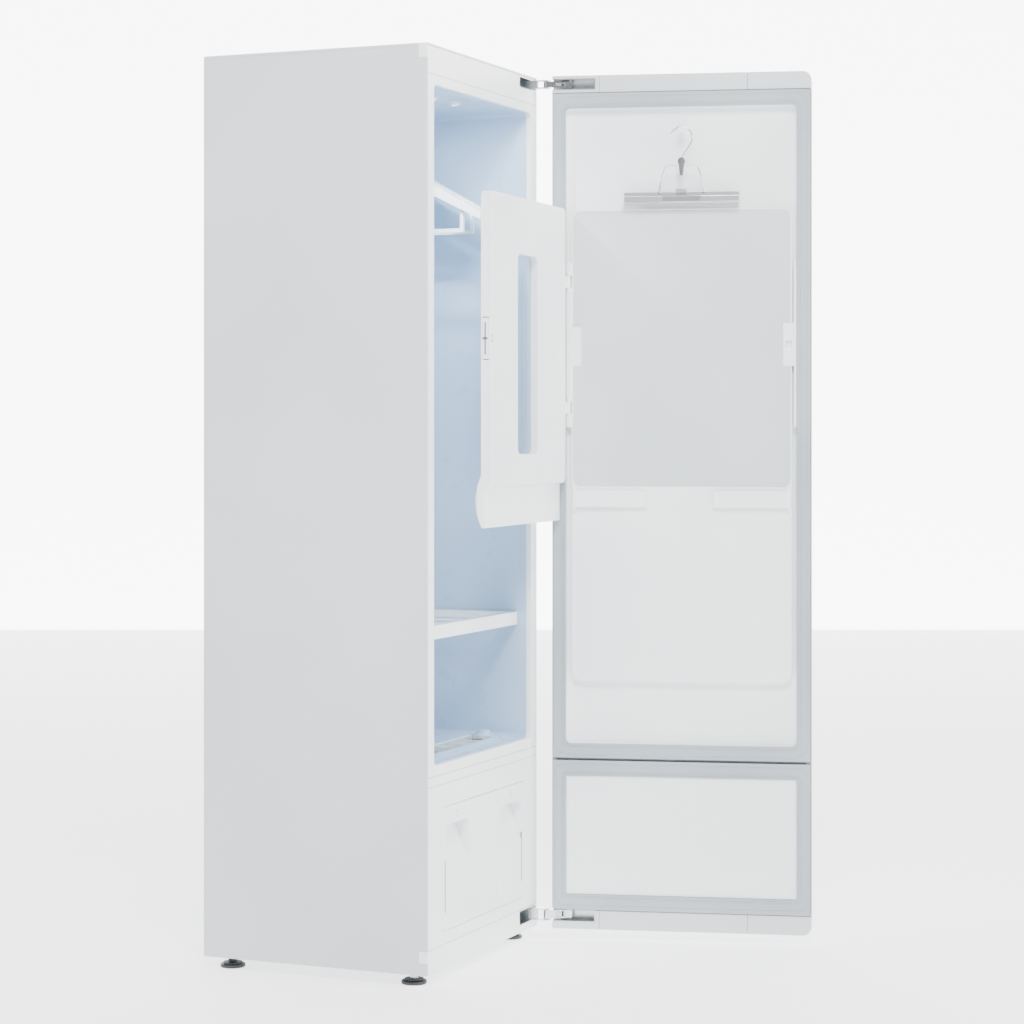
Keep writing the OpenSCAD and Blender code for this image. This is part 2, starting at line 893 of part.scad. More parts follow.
module door_frame() {
    color(grey) on_door() difference() {
        block([1, 0, cap_low], [door_w - 1, door_t - skin_t, cap_high]);
        block([frame_w, -1, cap_low + frame_w], [door_w - frame_w, door_t, gasket_split - 6]);
        block([frame_w, -1, gasket_split + 6], [door_w - frame_w, door_t, cap_high - frame_w]);
        block([frame_w - 1, -1, gasket_split - 7], [door_w - frame_w + 1, 6, gasket_split + 7]);
        door_box_space(hinge_top);
        door_box_space(hinge_low);
    }
}

gasket_s = [3, door_w - 3];
seal_s = [gasket_s[0] + gasket_w, gasket_s[1] - gasket_w];
upper_z = [gasket_split + 3, cap_high - 2];
lower_z = [cap_low + 2, gasket_split - 3];
seal_up = [upper_z[0] + gasket_w + 3, upper_z[1] - gasket_w - 4];
seal_low = [lower_z[0] + gasket_w + 5, lower_z[1] - gasket_w - 5];

// Liner: a shallow tray set into the door behind the press
module door_liner() {
    lip = 2;
    color(white) on_door() difference() {
        union() {
            upright(0, liner_floor + lip)
                round_rect([seal_s[0] - lip, seal_up[0] - lip],
                    [seal_s[1] + lip, seal_up[1] + lip], opening_r + lip);
            block([frame_w, 0, upper_z[0] + 4], [door_w - frame_w, 3, cap_high - frame_w]);
        }
        upright(-1, liner_floor)
            round_rect([seal_s[0], seal_up[0]], [seal_s[1], seal_up[1]], opening_r);
    }
}

module gasket_ring(z, seal, r) {
    upright(-gasket_rise, 0) difference() {
        translate([gasket_s[0], z[0]]) square([gasket_s[1] - gasket_s[0], z[1] - z[0]]);
        round_rect([seal_s[0], seal[0]], [seal_s[1], seal[1]], r);
    }
}

module door_gaskets() {
    color(grey) on_door() {
        gasket_ring(upper_z, seal_up, opening_r);
        gasket_ring(lower_z, seal_low, 2);
    }
}

module lower_insert() {
    color(white) on_door() {
        block([seal_s[0] + 0.4, -1, seal_low[0] + 0.4], [seal_s[1] - 0.4, 3, seal_low[1] - 0.4]);
        block([frame_w, 0, cap_low + frame_w], [door_w - frame_w, 3, gasket_split - 6]);
    }
}

// End caps, each in three lengths
module door_caps() {
    cuts = [0, 108.5, door_w - 143, door_w];
    color(white) on_door() for (n = [0:2]) {
        difference() {
            intersection() {
                upright(0, door_t - skin_t) door_outline(0);
                union() {
                    block([cuts[n] + seam / 2, -1, door_z - 1],
                        [cuts[n + 1] - seam / 2, door_t, cap_low]);
                    block([cuts[n] + seam / 2, -1, cap_high],
                        [cuts[n + 1] - seam / 2, door_t, door_top + 1]);
                }
            }
            door_box_space(hinge_top);
            door_box_space(hinge_low);
        }
    }
}

module door_hinge_box(z) {
    difference() {
        block([door_pocket[0] - box_t, 0, z[0] - box_t],
            [door_pocket[1] + box_t, door_pocket[2] + box_t, z[0] + z[1] + box_t]);
        block([door_pocket[0], -1, z[0]], [door_pocket[1], door_pocket[2], z[0] + z[1]]);
        block([-1, -1, z[0] - box_t - 1], [door_pocket[0] + 0.1, notch_d, z[0] + z[1] + box_t + 1]);
    }
    post(door_pin, z[0], z[0] + z[1], pin_r);
}

module door_hinge_boxes() {
    color(steel) on_door() {
        door_hinge_box(hinge_top);
        door_hinge_box(hinge_low);
    }
}

module touch_panel() {
    color(dark) on_door() block([door_w - 190, door_t - skin_t - 10, 1180],
        [door_w - 60, door_t - skin_t, 1420]);
}

// ---- Press on the door ----

recess_h = 96;

// Room for the catch at the free side, or for the blank recess at the hinge side
module latch_room(s0, s1, d1) {
    block([s0, bed_face - 1, latch_z - recess_h / 2], [s1, d1, latch_z + recess_h / 2]);
}

catch_s = [bed_s + bed_w - 19, bed_s + bed_w + 5];
blank_s = [bed_s - 1, bed_s + 23];

module bed_outline() {
    round_rect([bed_s, bed_low], [bed_s + bed_w, bed_top], 22);
}

module pad_outline() {
    round_rect([bed_s + 3, pad_low], [bed_s + bed_w - 3, bed_top - 3], 17);
}

module press_bed() {
    color(white) on_door() {
        difference() {
            upright(bed_face, liner_floor) bed_outline();
            upright(bed_face - 1, bed_face + 6) pad_outline();
            latch_room(catch_s[0], catch_s[1], bed_face + 12);
            latch_room(blank_s[0], blank_s[1], bed_face + 8);
        }
        for (s = [arm_pin_left, arm_pin_right]) {
            for (z = [arm_z - 6, arm_z + arm_h + 0.4]) {
                post([s, arm_d + arm_t / 2], z, z + 5.6, arm_t / 2 - 0.5);
                block([s - 4, arm_d + arm_t / 2, z], [s + 4, bed_face + 1, z + 5.6]);
            }
        }
    }
    color(steel) on_door() for (s = [arm_pin_left, arm_pin_right])
        post([s, arm_d + arm_t / 2], arm_z - 0.4, arm_z + arm_h + 0.4, 2);
}

module press_pad() {
    color(pad_grey) on_door() difference() {
        upright(bed_face, bed_face + 6) pad_outline();
        latch_room(catch_s[0], catch_s[1], bed_face + 12);
        latch_room(blank_s[0], blank_s[1], bed_face + 8);
    }
}

// Catch at the free side, with the hole that takes the cover's nose
module catch_block() {
    color(white) on_door() difference() {
        latch_block();
        block([catch_s[0] + 5, bed_face - 2, latch_z - 9], [catch_s[0] + 19, bed_face + 9, latch_z + 9]);
    }
}

module latch_block() {
    block([catch_s[0], bed_face, latch_z - recess_h / 2],
        [catch_s[1], bed_face + 12, latch_z + recess_h / 2]);
}

strip_face = -1.5;

// Hinge strip with its ears and pins, and the filler strip opposite
module press_side_strips() {
    z0 = knuckle_z[1] - 44;
    z1 = knuckle_z[0] + 44;
    color(white) on_door() {
        difference() {
            block([seal_s[0] + 0.5, strip_face, z0], [bed_s, liner_floor, z1]);
            for (z = knuckle_z)
                block([seal_s[0], strip_face - 1, z - knuckle_h / 2 - 0.4],
                    [bed_s + 1, 9, z + knuckle_h / 2 + 0.4]);
        }
        for (z = knuckle_z, end = [-1, 1]) {
            low = end < 0 ? z - knuckle_h / 2 - 0.4 - ear_h : z + knuckle_h / 2 + 0.4;
            post([hinge_s, hinge_d], low, low + ear_h, knuckle_r);
        }
        for (z = knuckle_z)
            post([hinge_s, hinge_d], z - knuckle_h / 2 - 1, z + knuckle_h / 2 + 1, 2.5);
        block([catch_s[1], strip_face, z0], [seal_s[1] - 0.5, liner_floor, z1]);
    }
}

// Peg that carries the trouser hanger
module hanger_hook() {
    color(white) on_door() {
        upright(liner_floor - 3, liner_floor) translate([hang_s, peg_z]) circle(14);
        upright(hang_d - 5, liner_floor - 2) translate([hang_s, peg_z]) circle(peg_r);
        upright(hang_d - 8, hang_d - 5) translate([hang_s, peg_z]) circle(peg_r + 3);
    }
}

peg_z = hook_z - hook_wire - 0.4 - peg_r;

module cover_outline(inset) {
    round_rect([cover_s0 + inset, plate_low + inset], [cover_s1 - inset, cover_top - inset], 16);
}

window_mid = (cover_s0 + cover_s1) / 2 + 10;
window_s = [window_mid - window_w / 2, window_mid + window_w / 2];
window_z = [bed_top - 550, bed_top - 550 + window_h];

// Pressing plate, the face that lies on the trousers
module press_cover_plate() {
    color(pad_grey) on_cover() difference() {
        upright(cover_b - plate_t, cover_b) cover_outline(0);
        upright(cover_b - plate_t - 1, cover_b + 1)
            round_rect([window_s[0], window_z[0]], [window_s[1], window_z[1]], 14);
        block([cover_s1 - 17, cover_b - plate_t - 1, latch_z - 7],
            [cover_s1 - 5, cover_b + 1, latch_z + 7]);
    }
}

// Outer shell with its bulged foot, and the two knuckles of the hinge
module press_cover_shell() {
    b0 = cover_b - cover_t;
    b1 = cover_b - plate_t;
    bf = cover_b - flap_back;
    split = plate_low + 24;
    foot = [[b1, split], [b0, split], [b0 - 8, plate_low + 4], [b0 - 16, plate_low - 26],
        [b0 - 12, plate_low - 50], [bf - 6, flap_low], [bf, flap_low], [bf, plate_low], [b1, plate_low]];
    hollow = [[b1, split - 6], [b0 + 3, split - 6], [b0 - 5, plate_low + 3], [b0 - 13, plate_low - 26],
        [b0 - 10, plate_low - 46], [bf - 8, flap_low + 5], [bf - 3, flap_low + 5],
            [bf - 3, plate_low + 3],
        [b1, plate_low + 3]];
    plan = [[cover_s0, 0], [cover_s0, b0 + 8], [cover_s0 + 14, b0 - 17], [cover_s1 - 6, b0 - 17],
        [cover_s1, b0 - 8], [cover_s1, 0]];
    color(white) on_cover() {
        difference() {
            upright(b0, b1) cover_outline(0);
            upright(b0 + 2.5, b1 + 1) difference() {
                cover_outline(3);
                translate([cover_s0, plate_low]) square([cover_s1, split + 3 - plate_low]);
                round_rect([window_s[0] - 4, window_z[0] - 4], [window_s[1] + 4, window_z[1] + 4], 18);
                translate([cover_s1 - 20, latch_z - latch_h / 2 - 3]) square([20, latch_h + 6]);
            }
            upright(b0 - 1, b1 + 1)
                round_rect([window_s[0], window_z[0]], [window_s[1], window_z[1]], 14);
            block([cover_s1 - 17, b0 + 3, latch_z - latch_h / 2],
                [cover_s1 + 1, b1 + 1, latch_z + latch_h / 2]);
            block([cover_s0 - 1, b0 - 1, plate_low - 1], [cover_s1 + 1, b1 + 1, split]);
            translate([cover_s0, b0, 0]) rotate(45) translate([-4, -4,
                plate_low]) cube([8, 8, cover_top]);
        }
        difference() {
            intersection() {
                sideways(cover_s0, cover_s1) polygon(foot);
                level(flap_low - 1, split + 1) polygon(plan);
            }
            sideways(cover_s0 + 17, cover_s1 - 9) polygon(hollow);
        }
        for (z = knuckle_z) difference() {
            union() {
                post([0, 0], z - knuckle_h / 2, z + knuckle_h / 2, knuckle_r);
                level(z - knuckle_h / 2, z + knuckle_h / 2)
                    polygon([[0, 2.5], [6, 1], [6.6, -2.4], [cover_s0 + 1, cover_b],
                        [cover_s0 + 1, b1 - 4], [11, b1 - 4], [7, -3.3], [0, -3.6]]);
            }
            post([0, 0], z - knuckle_h, z + knuckle_h, 2.5 + pin_fit);
            block([cover_s0, b1, z - knuckle_h], [cover_s0 + 2, cover_b + 1, z + knuckle_h]);
        }
    }
}

module cover_window() {
    b0 = cover_b - cover_t;
    color(clear) on_cover() upright(b0 + 2, b0 + 4.5)
        round_rect([window_s[0], window_z[0]], [window_s[1], window_z[1]], 14);
}

// Latch bar in the cover's free edge; the nose hooks into the catch
module cover_latch() {
    b0 = cover_b - cover_t;
    b1 = cover_b - plate_t;
    color(white) on_cover() {
        block([cover_s1 - 13, b0 + 3.5, latch_z - latch_h / 2 + 2],
            [cover_s1 - 0.5, b1 - 0.5, latch_z + latch_h / 2 - 2]);
        block([cover_s1 - 11, b1 - 1, latch_z - 4], [cover_s1 - 7, cover_b + 7, latch_z + 4]);
        block([cover_s1 - 7.5, cover_b + 4.5, latch_z - 4], [cover_s1 - 6, cover_b + 7, latch_z + 4]);
    }
}

// ---- Trouser clamp arms ----

arm_d = bed_face - 2 - arm_t;
arm_pin_left = bed_s + 7.5;
arm_pin_right = bed_s + bed_w - 8.5;

// Arm outline from its pin to its rounded tip
module arm_outline(reach) {
    r = 8;
    translate([0, arm_z]) square([reach - r, arm_h]);
    translate([0, arm_z + r]) square([reach, arm_h - 2 * r]);
    for (z = [arm_z + r, arm_z + arm_h - r]) translate([reach - r, z]) circle(r);
}

module clamp_arm(s_pin, reach, side) {
    pin_d = arm_d + arm_t / 2;
    translate([s_pin, 0, 0]) mirror([side < 0 ? 1 : 0, 0, 0]) difference() {
        union() {
            upright(arm_d, arm_d + arm_t) arm_outline(reach);
            post([0, pin_d], arm_z, arm_z + arm_h, arm_t / 2);
        }
        post([0, pin_d], arm_z - 1, arm_z + arm_h + 1, 2 + pin_fit);
    }
}

module trouser_arm_left() {
    color(white) on_door() clamp_arm(arm_pin_left, arm_reach_left, 1);
}

module trouser_arm_right() {
    color(white) on_door() clamp_arm(arm_pin_right, arm_reach_right, -1);
}

// ---- Trouser hanger ----

// Straight wire in the door's frame of reference, in the hanger's plane
module wire(a, b, r) {
    rod([a[0], hang_d, a[1]], [b[0], hang_d, b[1]], r);
    translate([b[0], hang_d, b[1]]) sphere(r);
}

bail_top = clamp_top + 59;
bail_half = 44;
toggle_z = [clamp_top + 46, clamp_top + 74];

module trouser_hanger() {
    ring_z = hook_z - hook_r;
    neck = [hang_s, toggle_z[1]];
    color(white) on_door() {
        translate([hang_s, hang_d, ring_z]) rotate([90, 0, 0]) rotate([0, 0, -50])
            rotate_extrude(angle = 200) translate([hook_r, 0]) circle(hook_wire);
        wire([hang_s + hook_r * cos(50), ring_z - hook_r * sin(50)], neck, hook_wire);
    }
    color(dark) on_door() {
        post([hang_s, hang_d], toggle_z[0], toggle_z[1], 6);
    }
    color(steel) on_door() {
        wire([hang_s - 4, bail_top], [hang_s - bail_half + 12, bail_top], hook_wire);
        wire([hang_s - bail_half + 12, bail_top], [hang_s - bail_half - 9, clamp_top - 1], hook_wire);
        wire([hang_s + 4, bail_top], [hang_s + bail_half - 12, bail_top], hook_wire);
        wire([hang_s + bail_half - 12, bail_top], [hang_s + bail_half + 9, clamp_top - 1], hook_wire);
        block([hang_s - clamp_half, hang_d, clamp_low],
            [hang_s + clamp_half, hang_d + clamp_t, clamp_top]);
    }
}

// Front jaw of the clamp, hinged along its upper edge
module hanger_jaw() {
    color(grey) on_door() {
        block([hang_s - clamp_half, hang_d - clamp_t, clamp_low],
            [hang_s + clamp_half, hang_d - 0.5, clamp_top - 8]);
    }
}

module hanger_lock() {
    color(dark) on_door() difference() {
        block([hang_s - 12, hang_d - clamp_t - 0.4 - 3, clamp_top - 2],
            [hang_s + 12, hang_d + clamp_t + 3, clamp_top + 6]);
        block([hang_s - 13, hang_d - clamp_t - 0.4, clamp_top - 3],
            [hang_s + 13, hang_d + clamp_t + 0.4, clamp_top + 0.4]);
    }
}

// ---- Draw ----

side_panel_left();
side_panel_right();
top_cover();
back_panel();
base_frame();
front_rails();
opening_frame();
lower_fascia();
kick_plate();
corner_caps();
chamber_liner();
sensor_grille();
ceiling_lights();
chamber_tray();
compressor();
heat_exchangers();
blower_housing();
blower_wheel();
steam_generator();
water_pump();
control_box();
power_inlet();
hanger_drive();
tank_bay();
cabinet_hinge_boxes();
panel_screws();
rear_feet();
front_foot_left();
front_foot_right();
hinge_arms();
hinge_links();
door_glass();
door_frame();
door_liner();
door_gaskets();
lower_insert();
door_caps();
door_hinge_boxes();
touch_panel();
press_bed();
press_pad();
press_side_strips();
catch_block();
hanger_hook();
press_cover_shell();
press_cover_plate();
cover_window();
cover_latch();
trouser_arm_left();
trouser_arm_right();
trouser_hanger();
hanger_jaw();
hanger_lock();
hanger_rail();
garment_hanger_1();
garment_hanger_2();
tank_left();
tank_right();
shelf();
lint_filter();
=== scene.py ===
"""Steam garment cabinet with a trouser press in its door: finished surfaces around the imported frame."""

import json
import math

import bpy
from mathutils import Matrix, Vector


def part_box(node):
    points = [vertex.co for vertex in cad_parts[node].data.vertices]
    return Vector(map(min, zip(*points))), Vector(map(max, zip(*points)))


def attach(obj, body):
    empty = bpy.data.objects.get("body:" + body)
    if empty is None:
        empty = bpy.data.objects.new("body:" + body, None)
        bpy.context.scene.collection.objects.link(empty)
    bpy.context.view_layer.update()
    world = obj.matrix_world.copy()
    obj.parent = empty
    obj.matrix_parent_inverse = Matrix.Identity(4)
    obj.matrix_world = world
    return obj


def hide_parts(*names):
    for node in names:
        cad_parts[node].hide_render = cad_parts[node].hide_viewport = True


bl_info = {
    "name": "Garment cabinet with door press",
    "version": (1, 0, 0),
    "blender": (4, 5, 0),
    "location": "View3D > Sidebar > Cabinet",
    "description": "Builds the finished surfaces of a steam garment cabinet with a trouser press in its door",
    "category": "Object",
}

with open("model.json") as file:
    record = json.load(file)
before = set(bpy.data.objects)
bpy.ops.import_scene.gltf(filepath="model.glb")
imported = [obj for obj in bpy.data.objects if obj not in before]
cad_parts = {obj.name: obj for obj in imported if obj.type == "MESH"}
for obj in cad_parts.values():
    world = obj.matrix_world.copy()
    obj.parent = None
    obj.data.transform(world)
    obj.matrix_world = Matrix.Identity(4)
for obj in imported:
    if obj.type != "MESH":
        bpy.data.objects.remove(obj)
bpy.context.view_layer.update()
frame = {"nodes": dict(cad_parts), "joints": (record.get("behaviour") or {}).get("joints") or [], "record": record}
NODES = frame["nodes"]
BODY_OF = {name: body for body, names in frame["record"]["behaviour"]["bodies"].items() for name in names}
JOINTS = {joint["name"]: joint for joint in frame["joints"]}
MM = 0.001


def unit_axis(joint):
    """A joint's axis as a unit vector."""
    return Vector(JOINTS[joint]["axis"]).normalized()


def place(along, outward, corner):
    """Matrix whose X runs along, whose Y runs outward and whose Z is up, with its origin at corner."""
    up = along.cross(outward)
    return Matrix.Translation(corner) @ Matrix((along, outward, up)).transposed().to_4x4()


# The door's own directions: its width from the hinge edge, and its depth from the inner face outwards.
# The cover's pin stands 38.5 mm in from the door's hinge edge and 1 mm behind its inner face.
PIN_INSET, PIN_DEPTH = 0.0385, 0.001
UP = Vector((0, 0, 1))
DOOR_ALONG = -unit_axis("hanger_sway")
DOOR_OUT = UP.cross(DOOR_ALONG)
COVER_ALONG = -unit_axis("latch_press")
COVER_OUT = UP.cross(COVER_ALONG)
COVER_PIN = Vector(JOINTS["cover_swing"]["pos_m"])
DOOR = place(DOOR_ALONG, DOOR_OUT, COVER_PIN - PIN_INSET * DOOR_ALONG - PIN_DEPTH * DOOR_OUT)
COVER = place(COVER_ALONG, COVER_OUT, COVER_PIN)
FINISH = {}
# The camera looks level, turned this many degrees from the cabinet's back. The backdrop faces it.
VIEW_TURN = -67.14


# ---- Colours and materials ----


def paint(code):
    """An sRGB hex colour as linear red, green, blue and alpha. A colour that is linear already is kept."""
    if not isinstance(code, str):
        return code
    channels = [int(code[i:i + 2], 16) / 255 for i in (1, 3, 5)]
    return [c / 12.92 if c <= 0.04045 else ((c + 0.055) / 1.055) ** 2.4 for c in channels] + [1.0]


def add(tree, kind, links=None, **settings):
    """Adds a node, sets its properties, and fills or links its inputs."""
    made = tree.nodes.new(kind)
    for key, value in settings.items():
        setattr(made, key, value)
    for key, value in (links or {}).items():
        if isinstance(value, bpy.types.NodeSocket):
            tree.links.new(value, made.inputs[key])
        else:
            made.inputs[key].default_value = value
    return made


def surface(name, **shader):
    """A new material with one shader, whose own sockets take the values given."""
    made = bpy.data.materials.new(name)
    made.use_nodes = True
    tree = made.node_tree
    tree.nodes.clear()
    sockets = {key.replace("_", " "): value for key, value in shader.items()}
    body = add(tree, "ShaderNodeBsdfPrincipled", sockets)
    end = add(tree, "ShaderNodeOutputMaterial")
    tree.links.new(body.outputs[0], end.inputs[0])
    return made, tree, body


def grain(tree, size_mm, detail=3.0, stretch=(1, 1, 1)):
    """Noise whose cells are size_mm across, pulled out along an axis by stretch."""
    where = add(tree, "ShaderNodeTexCoord").outputs["Object"]
    pulled = add(tree, "ShaderNodeMapping", {"Vector": where, "Scale": stretch}).outputs[0]
    noise = add(tree, "ShaderNodeTexNoise", {"Vector": pulled, "Scale": 1000 / size_mm, "Detail": detail})
    return noise.outputs[0]


def spread(tree, value, low, high):
    """Maps a noise value, which stays near the middle, onto low to high."""
    return add(tree, "ShaderNodeMapRange", {"Value": value, "From Min": 0.3, "From Max": 0.7,
                                            "To Min": low, "To Max": high}).outputs[0]


def tint(tree, value, dark, light):
    """A colour between dark and light, by a noise value."""
    mix = add(tree, "ShaderNodeMix", data_type="RGBA")
    tree.links.new(spread(tree, value, 0.0, 1.0), mix.inputs[0])
    mix.inputs[6].default_value = paint(dark)
    mix.inputs[7].default_value = paint(light)
    return mix.outputs[2]


def relief(tree, body, height, depth_mm, strength=0.5):
    """Raises the surface by up to depth_mm where height is high."""
    bump = add(tree, "ShaderNodeBump", {"Height": height, "Distance": depth_mm * MM, "Strength": strength})
    tree.links.new(bump.outputs[0], body.inputs["Normal"])


def moulded(name, dark, light, rough, grain_mm, depth_mm, **shader):
    """Moulded plastic: colour that drifts slowly over the part, and the fine texture of its mould.

    A real mould texture is about 0.1 mm. It is drawn at grain_mm, coarse enough to show.
    """
    made, tree, body = surface(name, **shader)
    tree.links.new(tint(tree, grain(tree, 240, 2.0), dark, light), body.inputs["Base Color"])
    fine = grain(tree, grain_mm)
    tree.links.new(spread(tree, fine, rough - 0.05, rough + 0.05), body.inputs["Roughness"])
    relief(tree, body, fine, depth_mm)
    return made


def metal(name, dark, light, rough, line_mm, stretch):
    """Bare or plated metal: fine lines pulled out along the way it was worked.

    The real lines are about 0.05 mm apart. They are drawn ten times coarser, so that they show.
    """
    made, tree, body = surface(name, Metallic=1.0)
    lines = grain(tree, line_mm, 4.0, stretch)
    tree.links.new(tint(tree, lines, dark, light), body.inputs["Base Color"])
    tree.links.new(spread(tree, lines, rough - 0.08, rough + 0.1), body.inputs["Roughness"])
    relief(tree, body, lines, 0.01, 0.3)
    return made


def make_materials():
    """Every finish on the cabinet, by name."""
    finish = {}
    colours = bpy.context.scene.cabinet_colours
    # Powder-coated sheet steel: a satin white whose orange peel breaks up long reflections.
    made, tree, body = surface("powder_coated_steel", Coat_Weight=0.15, Coat_Roughness=0.25)
    peel = grain(tree, 2.4, 2.0)
    drift = grain(tree, 500, 2.0)
    tree.links.new(tint(tree, drift, colours.sheet_shade, colours.sheet), body.inputs["Base Color"])
    tree.links.new(spread(tree, peel, 0.36, 0.46), body.inputs["Roughness"])
    relief(tree, body, peel, 0.03, 0.35)
    finish["coated"] = made
    # Moulded ABS of the front panels: bright and smooth, with a slight gloss.
    finish["abs"] = moulded("white_abs", colours.moulding_shade, colours.moulding, 0.30, 1.2, 0.01)
    # The same ABS from a polished mould: clearer reflections, for the door's liner and the press.
    finish["gloss"] = moulded("polished_white_abs", "#F2F4F6", "#F8F9FA", 0.20, 3.0, 0.008, Coat_Weight=0.3,
                              Coat_Roughness=0.1)
    # Pale blue ABS chamber liner, vacuum formed: soft sheen, a slight wave from forming.
    made, tree, body = surface("formed_blue_abs")
    wave = grain(tree, 60, 2.0)
    drift = grain(tree, 420, 1.0)
    tree.links.new(tint(tree, drift, colours.liner_shade, colours.liner), body.inputs["Base Color"])
    tree.links.new(spread(tree, wave, 0.26, 0.36), body.inputs["Roughness"])
    relief(tree, body, wave, 0.12, 0.4)
    finish["liner"] = made
    # Soft PVC gasket: pale grey, dull, with extrusion lines too fine to see singly.
    finish["gasket"] = moulded("soft_pvc_gasket", colours.gasket_shade, colours.gasket, 0.55, 0.9, 0.03,
                               Specular_IOR_Level=0.35)
    # Grey moulded ABS of the door's frame: a satin edge between the whites.
    finish["frame"] = moulded("grey_abs_frame", "#6F787D", "#7B8489", 0.38, 1.2, 0.015)
    # Pressing surface: satin resin board with a fine dimple that lets steam through.
    made, tree, body = surface("pressing_board")
    where = add(tree, "ShaderNodeTexCoord").outputs["Object"]
    dimple = add(tree, "ShaderNodeTexVoronoi", {"Vector": where, "Scale": 1000 / 2.2}).outputs["Distance"]
    drift = grain(tree, 300, 2.0)
    tree.links.new(tint(tree, drift, colours.board_shade, colours.board), body.inputs["Base Color"])
    tree.links.new(spread(tree, grain(tree, 5.0), 0.34, 0.44), body.inputs["Roughness"])
    relief(tree, body, dimple, 0.05, 0.25)
    finish["board"] = made
    # Frosted polystyrene insert: milky, light passes a little way in.
    finish["frosted"] = moulded("frosted_polystyrene", "#EFF2F3", "#F5F7F8", 0.48, 0.7, 0.02,
                                Subsurface_Weight=0.15, Subsurface_Scale=0.004)
    # Zinc-plated pressed steel: bright, slightly blue, with rolling lines.
    finish["zinc"] = metal("zinc_plated_steel", "#B4B8BB", "#D2D6D8", 0.26, 0.8, (1, 1, 6))
    # Polished steel of pins, links and rail: near a mirror, with the faintest turning lines.
    finish["pin"] = metal("polished_steel", "#C6C9CB", "#DADCDD", 0.16, 0.6, (1, 1, 8))
    # Brushed aluminium: light spreads into a soft streak across its fine lines.
    finish["aluminium"] = metal("brushed_aluminium", "#B9BDBF", "#CDD0D2", 0.32, 0.5, (1, 1, 14))
    # Galvanised steel tray: large dull spangles that catch the light one by one.
    made, tree, body = surface("galvanised_steel", Metallic=1.0)
    where = add(tree, "ShaderNodeTexCoord").outputs["Object"]
    spangle = add(tree, "ShaderNodeTexVoronoi", {"Vector": where, "Scale": 1000 / 14}).outputs["Color"]
    tree.links.new(tint(tree, spangle, "#9DA2A5", "#BCC0C3"), body.inputs["Base Color"])
    tree.links.new(spread(tree, spangle, 0.38, 0.56), body.inputs["Roughness"])
    finish["galvanised"] = made
    # Black moulded nylon: fine grain, dull.
    finish["nylon"] = moulded("black_nylon", "#26282A", "#2E3032", 0.52, 0.8, 0.04)
    # Dark grey moulded rubber: dull and even, with no clear highlight.
    finish["rubber"] = moulded("grey_rubber", "#55575A", "#606265", 0.6, 0.6, 0.03)
    # Grey moulded polypropylene of the ducts: waxy, with soft broad highlights.
    finish["polypropylene"] = moulded("grey_polypropylene", "#A9AFB3", "#B4BABD", 0.5, 1.6, 0.04)
    # Black enamel on drawn steel: glossy, a little uneven where it flowed.
    finish["enamel"] = moulded("black_enamel", "#17181A", "#1D1E20", 0.28, 4.0, 0.04)
    # Tinted acrylic window: clear with a faint blue, its gloss broken by a slight smear.
    made, tree, body = surface("tinted_window", Base_Color=paint("#C4DBEF"), Transmission_Weight=1.0,
                               IOR=1.49)
    smear = grain(tree, 30, 3.0)
    tree.links.new(spread(tree, smear, 0.01, 0.05), body.inputs["Roughness"])
    finish["window"] = made
    # Smoked polycarbonate level gauge: dark, glassy and slightly wavy.
    finish["gauge"] = moulded("smoked_gauge", "#8A939B", "#98A0A7", 0.14, 8.0, 0.01, Coat_Weight=0.6)
    # Back-printed door glass: a flat mirror-like skin over pale print.
    finish["glass"] = moulded("back_printed_glass", "#DDE0E3", "#E1E4E6", 0.08, 60.0, 0.004, Coat_Weight=1.0,
                              Coat_Roughness=0.02)
    # Dark display window, printed behind the same glass.
    finish["display"] = moulded("dark_display", "#131619", "#181B1E", 0.1, 20.0, 0.002, Coat_Weight=1.0,
                                Coat_Roughness=0.02)
    # Opal acrylic lamp lens: lit evenly from behind, slightly mottled.
    made, tree, body = surface("lit_lens", Base_Color=paint("#F4FAFF"), Roughness=0.35, Emission_Strength=2.2)
    glow = add(tree, "ShaderNodeMix", data_type="RGBA")
    tree.links.new(grain(tree, 6.0), glow.inputs[0])
    glow.inputs[6].default_value = paint("#E6F4FF")
    glow.inputs[7].default_value = paint("#FFFFFF")
    tree.links.new(glow.outputs[2], body.inputs["Emission Color"])
    finish["lens"] = made
    # Pad-printed grey ink: flat and dry beside the gloss round it.
    finish["print"] = moulded("grey_print", "#9AA1A7", "#A4ABB0", 0.4, 1.0, 0.01)
    return finish


# ---- Shaping tools ----


def nothing_selected():
    """Leaves edit mode and clears the selection."""
    if bpy.context.object and bpy.context.object.mode != "OBJECT":
        bpy.ops.object.mode_set(mode="OBJECT")
    bpy.ops.object.select_all(action="DESELECT")


def only(piece):
    """Selects one object and makes it active."""
    nothing_selected()
    piece.select_set(True)
    bpy.context.view_layer.objects.active = piece
    return piece


def block(name, low, high):
    """A primitive box between two corners, in millimetres, with its place in its mesh."""
    nothing_selected()
    middle = [(a + b) / 2 * MM for a, b in zip(low, high)]
    bpy.ops.mesh.primitive_cube_add(size=1, location=middle)
    piece = bpy.context.object
    piece.name = name
    piece.scale = [(b - a) * MM for a, b in zip(low, high)]
    bpy.ops.object.transform_apply(location=True, rotation=True, scale=True)
    return piece


def disc(name, centre, radius, depth, turn=(0, 0, 0), corners=48):
    """A primitive cylinder, in millimetres, with its place in its mesh."""
    nothing_selected()
    bpy.ops.mesh.primitive_cylinder_add(vertices=corners, radius=radius * MM, depth=depth * MM,
                                        location=[c * MM for c in centre], rotation=turn)
    piece = bpy.context.object
    piece.name = name
    bpy.ops.object.transform_apply(location=True, rotation=True, scale=True)
    return piece


